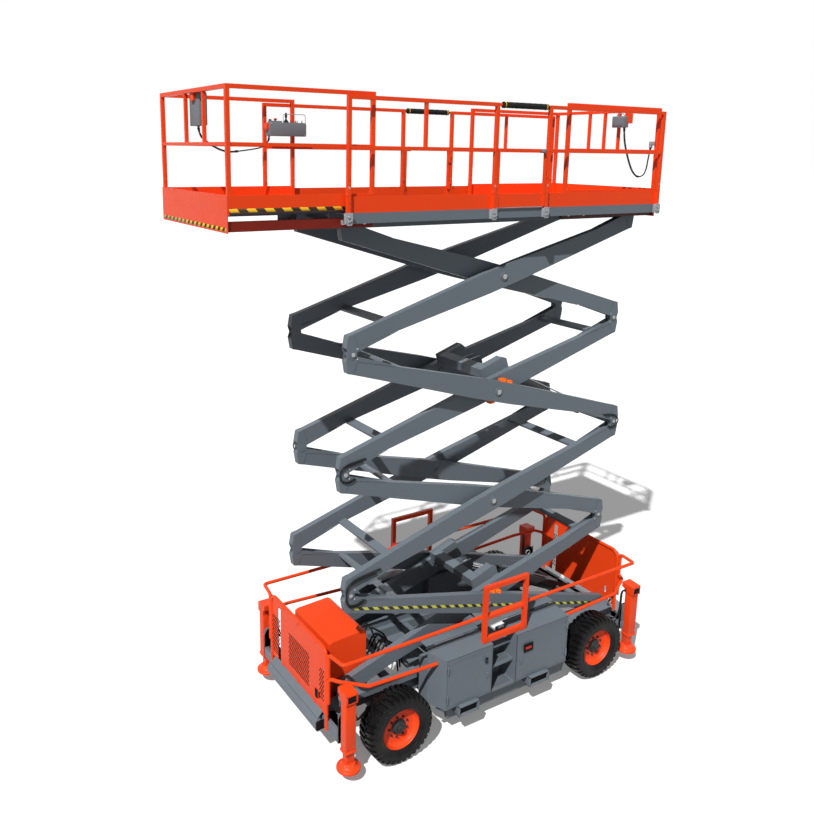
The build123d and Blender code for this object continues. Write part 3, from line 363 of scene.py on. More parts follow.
@dataclass(frozen=True)
class DeckUnderShadeFinish(Finish):
    """Paint on the deck, with painted shade on the beams under its floor: a dark colour where they
    sit in shade.
    """

    # Painted shade: a dark colour on the beams under the deck floor, where shade falls.
    under_shade: Colour = (0.16, 0.012, 0.006)
    end: float = -1.0
    reach: float = 3.362
    below: float = 6.0605
    half_width: float = 0.846

    def _base(self, graph: ShaderGraph) -> Any:
        """The paint above the beams, and painted shade on them.

        Args:
            graph: The material's graph.

        Returns:
            The output with the colour.
        """
        apart = graph.add("ShaderNodeSeparateXYZ")
        graph.join(graph.place, apart, 0)
        under = graph.maths("LESS_THAN", apart.outputs[2], self.below)
        inside = graph.maths(
            "LESS_THAN", graph.maths("ABSOLUTE", apart.outputs[1]), self.half_width
        )
        ahead = graph.maths("MULTIPLY", apart.outputs[0], self.end)
        short = graph.maths("LESS_THAN", ahead, self.reach)
        share = graph.maths("MULTIPLY", graph.maths("MULTIPLY", under, inside), short)
        return graph.blend(share, self.colour, self.under_shade)


# Both decks get painted shade on the beams under their floors; the rear deck's is deeper in shade
# and nearly black.
FRONT_DECK = DeckUnderShadeFinish("front_deck_paint_and_shade", ORANGE.colour, 0.40, wear=0.12, dust=0.08)
REAR_DECK = DeckUnderShadeFinish(
    "rear_deck_paint_and_shade", ORANGE.colour, 0.40, wear=0.12, dust=0.08, under_shade=(0.03, 0.008, 0.006),
    end=1.0, reach=2.170,
)
NODE_FINISH = {"front_deck": FRONT_DECK, "rear_deck": REAR_DECK}
SLOT_FINISH = {
    "orange paint": ORANGE, "grey paint": GREY, "black paint": DARK, "tyre rubber": TREAD,
    "chrome": CHROME, "cast iron": IRON, "light grey box": BOX_GREY, "black foam": FOAM,
    "black cord": SHEATH,
}


# --- Shapes ---
def circle(count: int, shift: float = 0.0) -> list[tuple[float, float]]:
    """Cosine and sine of even steps round a turn, the first one shifted by a share of a step.

    Args:
        count: How many steps.
        shift: The shift.

    Returns:
        A (cosine, sine) pair for each step.
    """
    turns = [math.tau * (i + shift) / count for i in range(count)]
    return [(math.cos(turn), math.sin(turn)) for turn in turns]


class Shape:
    """A mesh being drawn, in metres, in the frame's own axes."""

    def __init__(self) -> None:
        """Starts with nothing drawn."""
        self.mesh = bmesh.new()

    def loft(self, rings: Sequence[Sequence[Point]], closed: bool = False) -> Shape:
        """Skins a row of equal rings.

        Args:
            rings: Rings of points, each drawn the same way round.
            closed: Whether the last ring joins the first, with no end caps.

        Returns:
            This shape.
        """
        rows = [[self.mesh.verts.new(p) for p in ring] for ring in rings]
        faces = []
        pairs = list(zip(rows, rows[1:] + rows[:1])) if closed else list(zip(rows, rows[1:]))
        for first, second in pairs:
            for i in range(len(first)):
                k = (i + 1) % len(first)
                faces.append(self.mesh.faces.new((first[i], first[k], second[k], second[i])))
        if not closed:
            faces.append(self.mesh.faces.new(tuple(reversed(rows[0]))))
            faces.append(self.mesh.faces.new(tuple(rows[-1])))
        bmesh.ops.recalc_face_normals(self.mesh, faces=faces)
        return self

    def prism(self, outline: Sequence[Point], offset: Point) -> Shape:
        """Pushes a flat outline along an offset."""
        move = Vector(offset)
        return self.loft([[Vector(p) for p in outline], [Vector(p) + move for p in outline]])

    def box(self, first: Point, second: Point, edge: float = 0.0) -> Shape:
        """Adds a block with softened edges.

        Args:
            first: One corner.
            second: The corner across from it.
            edge: How far the edges are rounded.

        Returns:
            This shape.
        """
        (x0, x1), (y0, y1), (z0, z1) = (sorted(pair) for pair in zip(first, second))
        before = set(self.mesh.edges)
        self.prism([(x0, y0, z0), (x1, y0, z0), (x1, y1, z0), (x0, y1, z0)], (0, 0, z1 - z0))
        if edge > 0:
            fresh = [e for e in self.mesh.edges if e not in before]
            bmesh.ops.bevel(
                self.mesh, geom=fresh, offset=edge, segments=2, affect="EDGES", profile=0.6
            )
        return self

    def turned(
        self, profile: Sequence[tuple[float, float]], foot: Point, axis: Point, steps: int = 48
    ) -> Shape:
        """Turns a profile about an axis.

        Args:
            profile: Points (radius, distance along the axis), from end to end.
            foot: Where the axis starts.
            axis: Which way it runs.
            steps: How many steps round.

        Returns:
            This shape.
        """
        along = Vector(axis).normalized()
        across = along.orthogonal().normalized()
        side = along.cross(across)
        start = Vector(foot)
        outs = [across * cos + side * sin for cos, sin in circle(steps)]
        return self.loft(
            [
                [start + along * far + out * max(radius, 1e-4) for out in outs]
                for radius, far in profile
            ]
        )

    def bar(self, start: Point, finish: Point, radius: float, steps: int = 20) -> Shape:
        """Adds a round bar with slightly rounded ends.

        Args:
            start: The middle of one end.
            finish: The middle of the other end.
            radius: Its radius.
            steps: How many steps round.

        Returns:
            This shape.
        """
        run = Vector(finish) - Vector(start)
        far, soft = run.length, min(radius * 0.2, run.length * 0.4)
        profile = ((radius - soft, 0), (radius, soft), (radius, far - soft), (radius - soft, far))
        return self.turned(profile, start, run, steps)

    def tube(self, points: Sequence[Vector], radius: float, steps: int = 14) -> Shape:
        """Tube exactly through close points, its section carried along without twist.

        Args:
            points: The points.
            radius: The tube's radius.
            steps: How many steps round.

        Returns:
            This shape.
        """
        rings = []
        across = (points[1] - points[0]).orthogonal().normalized()
        for i, point in enumerate(points):
            ahead = (points[min(i + 1, len(points) - 1)] - points[max(i - 1, 0)]).normalized()
            across = (across - ahead * across.dot(ahead)).normalized()
            side = ahead.cross(across)
            rings.append(
                [point + (across * cos + side * sin) * radius for cos, sin in circle(steps)]
            )
        return self.loft(rings)

    def bent(self, points: Sequence[Point], radius: float) -> Shape:
        """Tube along a smooth line near the points.

        Args:
            points: The points.
            radius: The tube's radius.

        Returns:
            This shape.
        """
        mesh = smooth_line("bent", points, radius)
        self.mesh.from_mesh(mesh)
        bpy.data.meshes.remove(mesh)
        return self

    def mirrored(self) -> Shape:
        """Adds the same again on the other side of the machine.

        Returns:
            This shape.
        """
        copy = bmesh.ops.duplicate(
            self.mesh, geom=self.mesh.verts[:] + self.mesh.edges[:] + self.mesh.faces[:]
        )
        fresh = [g for g in copy["geom"] if isinstance(g, bmesh.types.BMVert)]
        faces = [g for g in copy["geom"] if isinstance(g, bmesh.types.BMFace)]
        for vert in fresh:
            vert.co.y = -vert.co.y
        bmesh.ops.reverse_faces(self.mesh, faces=faces)
        return self

    def piece(self, name: str, finish: Finish, smooth: float = 35.0) -> bpy.types.Object:
        """Makes the drawn mesh an object.

        Args:
            name: The piece's name.
            finish: Its finish.
            smooth: Edges flatter than this many degrees are shaded smooth.

        Returns:
            The new object.
        """
        mesh = bpy.data.meshes.new(name)
        self.mesh.to_mesh(mesh)
        self.mesh.free()
        return as_piece(name, mesh, finish, smooth)


def as_piece(
    name: str, mesh: bpy.types.Mesh, finish: Finish, smooth: float = 35.0
) -> bpy.types.Object:
    """Puts a mesh into the scene with its finish and smooth shading.

    Args:
        name: The piece's name.
        mesh: Its mesh.
        finish: Its finish.
        smooth: Edges flatter than this many degrees are shaded smooth.

    Returns:
        The new object.
    """
    mesh.materials.clear()
    mesh.materials.append(finish.material())
    mesh.shade_smooth()
    mesh.set_sharp_from_angle(angle=math.radians(smooth))
    item = bpy.data.objects.new(name, mesh)
    bpy.context.scene.collection.objects.link(item)
    return item


def curve_object(name: str, points: Sequence[Point], radius: float) -> bpy.types.Object:
    """A smooth NURBS curve with the points as its control points.

    Args:
        name: The object's name.
        points: The control points.
        radius: The radius of the tube round it.

    Returns:
        The new object.
    """
    curve = bpy.data.curves.new(name, "CURVE")
    curve.dimensions = "3D"
    curve.bevel_depth = radius
    curve.bevel_resolution = 4
    curve.use_fill_caps = True
    curve.resolution_u = 8
    spline = curve.splines.new("NURBS")
    spline.points.add(len(points) - 1)
    for slot, point in zip(spline.points, points):
        slot.co = (*point, 1.0)
    spline.order_u = 3
    spline.use_endpoint_u = True
    item = bpy.data.objects.new(name, curve)
    bpy.context.scene.collection.objects.link(item)
    return item


def smooth_line(name: str, points: Sequence[Point], radius: float) -> bpy.types.Mesh:
    """The tube of such a curve as a plain mesh.

    Args:
        name: The curve's name.
        points: The control points.
        radius: The tube's radius.

    Returns:
        The mesh.
    """
    item = curve_object(name, points, radius)
    mesh = plain_mesh(item)
    curve = item.data
    bpy.data.objects.remove(item)
    bpy.data.curves.remove(curve)
    return mesh


def plain_mesh(item: bpy.types.Object) -> bpy.types.Mesh:
    """What an object looks like with its modifiers, as a mesh of its own.

    Args:
        item: The object.

    Returns:
        The new mesh.
    """
    graph = bpy.context.evaluated_depsgraph_get()
    graph.update()
    return bpy.data.meshes.new_from_object(item.evaluated_get(graph))


def ride(body: str, *items: bpy.types.Object) -> None:
    """Puts pieces on a body of the frame and reports them."""
    for item in items:
        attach(item, body)
        LOG.info("%s rides on %s", item.name, body)


# --- Repeated shapes (Geometry Nodes) ---
class Repeat(Enum):
    """The ways in which a small shape is repeated."""

    RING = "ring"
    GRID = "grid"
    PLACES = "places"


class RepeatTree(NodeGraph):
    """A Geometry Nodes tree that repeats the shape it is put on and joins the copies."""

    INPUTS = {
        Repeat.RING: (("Count", "Int"), ("Turn", "Vector"), ("Centre", "Vector")),
        Repeat.GRID: (
            ("Columns", "Int"), ("Rows", "Int"), ("Pitch", "Float"), ("Tilt", "Vector"),
            ("Centre", "Vector"),
        ),
        Repeat.PLACES: (("Places", "Object"),),
    }

    def __init__(self, way: Repeat) -> None:
        """Builds the tree for one way of repeating.

        Args:
            way: The way of repeating.
        """
        super().__init__(bpy.data.node_groups.new(f"repeat_{way.value}", "GeometryNodeTree"))
        face = self.tree.interface
        face.new_socket("Geometry", in_out="INPUT", socket_type="NodeSocketGeometry")
        for title, kind in (*self.INPUTS[way], ("Finish", "Material")):
            face.new_socket(title, in_out="INPUT", socket_type=f"NodeSocket{kind}")
        face.new_socket("Geometry", in_out="OUTPUT", socket_type="NodeSocketGeometry")
        self.start = self.add("NodeGroupInput").outputs
        makers = {Repeat.RING: self._ring, Repeat.GRID: self._grid, Repeat.PLACES: self._places}
        points = makers[way]()
        real = self.add("GeometryNodeRealizeInstances")
        self.join(points, real, 0)
        painted = self.add("GeometryNodeSetMaterial")
        self.join(real.outputs[0], painted, "Geometry")
        self.join(self.start["Finish"], painted, "Material")
        self.join(painted.outputs[0], self.add("NodeGroupOutput"), 0)

    def instances(self, points: Any, turn: Any = None, size: Any = None) -> Any:
        """Puts the shape on every point.

        Args:
            points: The output with the points.
            turn: The output with the turn of each.
            size: The output with the size of each.

        Returns:
            The output with the copies.
        """
        node = self.add("GeometryNodeInstanceOnPoints")
        self.join(points, node, "Points")
        self.join(self.start["Geometry"], node, "Instance")
        if turn is not None:
            self.join(turn, node, "Rotation")
        if size is not None:
            self.join(size, node, "Scale")
        return node.outputs[0]

    def placed(self, geometry: Any, turn: Any = None) -> Any:
        """Turns the result and moves it to its centre.

        Args:
            geometry: The output with the copies.
            turn: The output with the turn.

        Returns:
            The output with the moved copies.
        """
        node = self.add("GeometryNodeTransform")
        self.join(geometry, node, "Geometry")
        self.join(self.start["Centre"], node, "Translation")
        if turn is not None:
            self.join(turn, node, "Rotation")
        return node.outputs[0]

    def _ring(self) -> Any:
        """Copies turned step by step about the centre.

        Returns:
            The output with the copies.
        """
        line = self.add("GeometryNodeMeshLine")
        self.join(self.start["Count"], line, "Count")
        self.join((0.0, 0.0, 0.0), line, "Offset")
        scaled = self.add("ShaderNodeVectorMath", operation="SCALE")
        self.join(self.start["Turn"], scaled, 0)
        self.join(self.add("GeometryNodeInputIndex").outputs[0], scaled, "Scale")
        return self.placed(self.instances(line.outputs[0], scaled.outputs[0]))

    def _grid(self) -> Any:
        """Copies in staggered rows on a flat field.

        Returns:
            The output with the copies.
        """
        grid = self.add("GeometryNodeMeshGrid")
        columns, rows, pitch = (self.start[k] for k in ("Columns", "Rows", "Pitch"))
        self.join(columns, grid, "Vertices X")
        self.join(rows, grid, "Vertices Y")
        self.join(
            self.maths("MULTIPLY", self.maths("SUBTRACT", columns, 1.0), pitch), grid, "Size X"
        )
        tall = self.maths("MULTIPLY", self.maths("SUBTRACT", rows, 1.0), pitch)
        self.join(self.maths("MULTIPLY", tall, ROW_SHARE), grid, "Size Y")
        row = self.maths("MODULO", self.add("GeometryNodeInputIndex").outputs[0], rows)
        odd = self.maths("MODULO", row, 2.0)
        aside = self.add("ShaderNodeCombineXYZ")
        self.join(self.maths("MULTIPLY", self.maths("MULTIPLY", odd, pitch), 0.5), aside, 0)
        moved = self.add("GeometryNodeSetPosition")
        self.join(grid.outputs[0], moved, "Geometry")
        self.join(aside.outputs[0], moved, "Offset")
        return self.placed(self.instances(moved.outputs[0]), self.start["Tilt"])

    def _places(self) -> Any:
        """Copies on the points of another object, with their own turn and size.

        Returns:
            The output with the copies.
        """
        info = self.add("GeometryNodeObjectInfo")
        self.join(self.start["Places"], info, "Object")
        turn = self.add("GeometryNodeInputNamedAttribute", data_type="FLOAT_VECTOR")
        self.join("turn", turn, "Name")
        size = self.add("GeometryNodeInputNamedAttribute", data_type="FLOAT")
        self.join("size", size, "Name")
        return self.instances(info.outputs["Geometry"], turn.outputs[0], size.outputs[0])

    def mesh(self, name: str, shape: Shape, finish: Finish, **values: Any) -> bpy.types.Mesh:
        """Repeats a shape.

        Args:
            name: The result's name.
            shape: What is repeated, drawn about the origin.
            finish: The finish of all copies.
            **values: The tree's inputs by name.

        Returns:
            All copies as one plain mesh.
        """
        seed = bpy.data.meshes.new(f"{name}_seed")
        shape.mesh.to_mesh(seed)
        shape.mesh.free()
        item = bpy.data.objects.new(f"{name}_seed", seed)
        bpy.context.scene.collection.objects.link(item)
        modifier = item.modifiers.new("repeat", "NODES")
        modifier.node_group = self.tree
        values["Finish"] = finish.material()
        for socket in self.tree.interface.items_tree:
            if socket.in_out == "INPUT" and socket.name in values:
                modifier[socket.identifier] = values[socket.name]
        mesh = plain_mesh(item)
        item.modifiers.clear()
        bpy.data.objects.remove(item)
        return mesh


TREES: dict[Repeat, RepeatTree] = {}


def tree_for(way: Repeat) -> RepeatTree:
    """The tree for one way of repeating, built once."""
    if way not in TREES:
        TREES[way] = RepeatTree(way)
    return TREES[way]


def repeated(
    name: str, way: Repeat, shape: Shape, finish: Finish, **values: Any
) -> bpy.types.Object:
    """Makes a piece of one shape repeated.

    Args:
        name: The piece's name.
        way: How it is repeated.
        shape: What is repeated.
        finish: Its finish.
        **values: The tree's inputs by name.

    Returns:
        The new object.
    """
    return as_piece(name, tree_for(way).mesh(name, shape, finish, **values), finish)


@dataclass(frozen=True)
class Place:
    """Where one copy goes, which way its own +Z points, and how large it is."""

    at: Point
    faces: Point = (0.0, 0.0, 1.0)
    size: float = 1.0


def scattered(name: str, shape: Shape, finish: Finish, places: Iterable[Place]) -> bpy.types.Object:
    """Makes a piece of copies at given places.

    Args:
        name: The piece's name.
        shape: What is copied, drawn standing on the origin along +Z.
        finish: Its finish.
        places: Where the copies go.

    Returns:
        The new object.
    """
    spots = list(places)
    mesh = bpy.data.meshes.new(f"{name}_places")
    mesh.from_pydata([tuple(s.at) for s in spots], [], [])
    mesh.attributes.new("turn", "FLOAT_VECTOR", "POINT")
    mesh.attributes.new("size", "FLOAT", "POINT")
    turn, size = mesh.attributes["turn"], mesh.attributes["size"]
    for i, spot in enumerate(spots):
        turn.data[i].vector = Vector((0, 0, 1)).rotation_difference(Vector(spot.faces)).to_euler()
        size.data[i].value = spot.size
    holder = bpy.data.objects.new(f"{name}_places", mesh)
    bpy.context.scene.collection.objects.link(holder)
    piece = repeated(name, Repeat.PLACES, shape, finish, Places=holder)
    bpy.data.objects.remove(holder)
    return piece


def bolt(radius: float = 0.011, height: float = 0.009) -> Shape:
    """A hexagon head on its washer, standing along +Z.

    Args:
        radius: The head's radius.
        height: How far it stands out.

    Returns:
        The shape.
    """
    washer = ((radius * 1.5, 0.0), (radius * 1.5, height * 0.2), (radius * 1.2, height * 0.25))
    shape = Shape().turned(washer, ORIGIN, UP, 12)
    head = ((radius, height * 0.2), (radius, height * 0.9), (radius * 0.8, height))
    return shape.turned(head, ORIGIN, UP, 6)


def grip_floor(name: str, columns: int, rows: int, centre: Point) -> bpy.types.Object:
    """Raised grip studs in staggered rows on a deck's floor.

    Args:
        name: The piece's name.
        columns: How many studs lie in a row.
        rows: How many rows there are.
        centre: The middle of the field.

    Returns:
        The new object.
    """
    stud = Shape().turned(((0.0115, 0.0), (0.0105, 0.0018), (0.006, 0.003)), ORIGIN, UP, 8)
    return repeated(
        name, Repeat.GRID, stud, GREY, Columns=columns, Rows=rows, Pitch=0.060, Tilt=ORIGIN,
        Centre=centre,
    )


def lock_pin(shape: Shape, at: Point, sign: int, inner: float, outer: float, radius: float) -> None:
    """Draws a locking pin through a post.

    Args:
        shape: Where it is drawn.
        at: The middle of the post.
        sign: The side of the machine, where its head is.
        inner: How far it reaches inboard.
        outer: How far it reaches outboard.
        radius: Its radius.
    """
    x, y, z = at
    shape.bar((x, y - sign * inner, z), (x, y + sign * outer, z), radius, 10)
    head = ((0.010, 0), (0.012, 0.002), (0.012, 0.005))
    shape.turned(head, (x, y + sign * (outer - 0.005), z), (0, sign, 0), 14)


# --- Scene ---
@dataclass
class StageSet:
    """Floor, lights, backdrop and camera."""

    eye: Point = (-6.189, -7.719, 6.680)
    yaw: float = 31.93
    pitch: float = -12.27
    roll: float = 0.79
    lens: float = 36.451
    shift: tuple[float, float] = (0.04847, -0.0956)
    world_strength: float = 0.16
    bounce: float = 0.28
    key_from: Point = (-0.70, -0.50, 1.0)
    fill_from: Point = (-0.2, -1.0, 0.30)
    floor_reach: float = 300.0
    floor_glow: float = 0.16
    sensor: float = 36.0
    view_end: float = 2000.0

    def build(self) -> None:
        """Makes everything that isn't the object."""
        self._floor()
        self._world()
        self._camera()
        self._lamp("key_lamp", self.key_from, 0.8, 4.0)
        self._lamp("fill_lamp", self.fill_from, 70.0, 0.25)
        bpy.context.scene.view_settings.view_transform = "Standard"

    def _floor(self) -> None:
        """White floor that keeps the object's shadow."""
        mesh = bpy.data.meshes.new("floor")
        far = self.floor_reach
        corners = [(-far, -far, 0), (far, -far, 0), (far, far, 0), (-far, far, 0)]
        mesh.from_pydata(corners, [], [(0, 1, 2, 3)])
        floor = bpy.data.objects.new("floor", mesh)
        bpy.context.scene.collection.objects.link(floor)
        graph = ShaderGraph("floor_white")
        graph.surface.inputs["Roughness"].default_value = 0.9
        graph.surface.inputs["Specular IOR Level"].default_value = 0.0
        path = graph.add("ShaderNodeLightPath").outputs
        seen = graph.maths("MAXIMUM", path["Is Camera Ray"], path["Is Glossy Ray"])
        white = graph.blend(seen, (self.bounce,) * 3, (0.9, 0.9, 0.9))
        graph.join(white, graph.surface, "Base Color")
        graph.surface.inputs["Emission Color"].default_value = (1.0, 1.0, 1.0, 1.0)
        glow = graph.maths("MULTIPLY", seen, self.floor_glow)
        graph.join(glow, graph.surface, "Emission Strength")
        mesh.materials.append(graph.material)

    def _world(self) -> None:
        """White backdrop, with a softer light for the object."""
        world = bpy.data.worlds.new("studio")
        bpy.context.scene.world = world
        world.use_nodes = True
        graph = NodeGraph(world.node_tree)
        path = graph.add("ShaderNodeLightPath").outputs
        shine = graph.maths("MAXIMUM", path["Is Transmission Ray"], path["Is Glossy Ray"])
        seen = graph.maths("MAXIMUM", path["Is Camera Ray"], shine)
        backdrop = graph.tree.nodes["Background"]
        graph.join((1.0, 1.0, 1.0, 1.0), backdrop, "Color")
        graph.join(graph.spread(seen, 0.0, 1.0, self.world_strength, 1.0), backdrop, "Strength")

    def _lamp(self, name: str, side: Point, softness: float, strength: float) -> None:
        """Even light from one side, as soft as an angle in degrees.

        Args:
            name: The lamp's name.
            side: Where the light comes from.
            softness: The angle.
            strength: How strong it is.
        """
        data = bpy.data.lights.new(name, "SUN")
        data.angle = math.radians(softness)
        data.energy = strength
        lamp = bpy.data.objects.new(name, data)
        lamp.rotation_euler = (-Vector(side)).to_track_quat("-Z", "Y").to_euler()
        bpy.context.scene.collection.objects.link(lamp)

    def _camera(self) -> None:
        """Camera at a person's view from a raised platform."""
        yaw, pitch, roll = (math.radians(a) for a in (self.yaw, self.pitch, self.roll))
        flat = math.cos(pitch)
        ahead = Vector((math.sin(yaw) * flat, math.cos(yaw) * flat, math.sin(pitch)))
        right = Vector((math.cos(yaw), -math.sin(yaw), 0.0))
        above = right.cross(ahead)
        across = right * math.cos(roll) + above * math.sin(roll)
        up = above * math.cos(roll) - right * math.sin(roll)
        data = bpy.data.cameras.new("camera")
        data.sensor_width = self.sensor
        data.lens = self.lens
        data.shift_x, data.shift_y = self.shift
        data.clip_end = self.view_end
        camera = bpy.data.objects.new("camera", data)
        turn = Matrix((across, up, -ahead)).transposed().to_4x4()
        camera.matrix_world = Matrix.Translation(self.eye) @ turn
        bpy.context.scene.collection.objects.link(camera)
        bpy.context.scene.camera = camera


# --- Cords ---
@dataclass(frozen=True)
class Cord:
    """A free cable or hose with its facts, route and body."""

    name: str
    body: str
    diameter: float
    length: float
    route: tuple[Point, ...]
    sleeve_share: float = 0.62

    def build(self) -> None:
        """Makes the cord with its sleeve and its two tapered strain reliefs."""
        item = curve_object(f"{self.name}_line", self.route, self.diameter / 2)
        item.data.materials.append(SHEATH.material())
        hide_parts(self.name)
        boots = Shape()
        for tip, towards in ((self.route[0], self.route[1]), (self.route[-1], self.route[-2])):
            boots = self._boot(boots, Vector(tip), Vector(towards))
        relief = boots.piece(f"{self.name}_reliefs", SHEATH)
        sleeve = self._sleeve(item)
        ride(self.body, item, relief, sleeve)

    def _sleeve(self, line: bpy.types.Object) -> bpy.types.Object:
        """Thick braided sleeve over the first part of the cord, with a cuff at its end.

        Args:
            line: The cord's own curve.

        Returns:
            The sleeve.
        """
        bevel = line.data.bevel_depth
        line.data.bevel_depth = 0.0
        trace = plain_mesh(line)
        line.data.bevel_depth = bevel
        points = [v.co.copy() for v in trace.vertices]
        bpy.data.meshes.remove(trace)
        along = [0.0]
        for a, b in zip(points, points[1:]):
            along.append(along[-1] + (b - a).length)
        start, stop = 0.05, along[-1] * self.sleeve_share
        kept = [point for point, run in zip(points, along) if start <= run <= stop]
        sleeve = Shape().tube(kept, self.diameter * 0.72)
        cuff = kept[-1] - kept[-2]
        sleeve.turned(
            ((0.0075, -0.03), (0.0130, -0.028), (0.0130, 0.004), (0.0075, 0.012)), kept[-1], cuff,
            20,
        )
        return sleeve.piece(f"{self.name}_sleeve", SHEATH)

    def _boot(self, shape: Shape, tip: Vector, towards: Vector) -> Shape:
        """Ribbed boot that narrows from the housing to the cord.

        Args:
            shape: Where it is drawn.
            tip: The cord's end.
            towards: A point further along the cord.

        Returns:
            The shape.
        """
        wide, slim = self.diameter * 0.95, self.diameter * 0.56
        profile = []
        for i in range(6):
            radius = wide + (slim - wide) * i / 6
            start = 0.046 * i / 6
            profile += [(radius, start), (radius, start + 0.005), (radius * 0.88, start + 0.0055)]
        return shape.turned(profile, tip, towards - tip, 24)


CORDS = (
    Cord(
        "control_cable", "front_deck_body", 0.014, 1.464,
        (
            (-3.292, -0.016, 6.872), (-3.270, 0.014, 6.808), (-3.187, 0.108, 6.764),
            (-3.062, 0.232, 6.714), (-2.925, 0.352, 6.672), (-2.785, 0.466, 6.654),
            (-2.625, 0.568, 6.666), (-2.470, 0.650, 6.682), (-2.330, 0.712, 6.700),
            (-2.228, 0.754, 6.738), (-2.196, 0.766, 6.806),
        ),
    ),
    Cord(
        "outlet_hose", "rear_deck_body", 0.016, 1.078,
        (
            (2.100, -0.373, 6.991), (2.100, -0.384, 6.870), (2.102, -0.425, 6.735),
            (2.105, -0.478, 6.600), (2.107, -0.540, 6.480), (2.108, -0.628, 6.412),
            (2.109, -0.722, 6.440), (2.110, -0.757, 6.530), (2.111, -0.768, 6.652),
            (2.112, -0.790, 6.772),
        ),
    ),
)


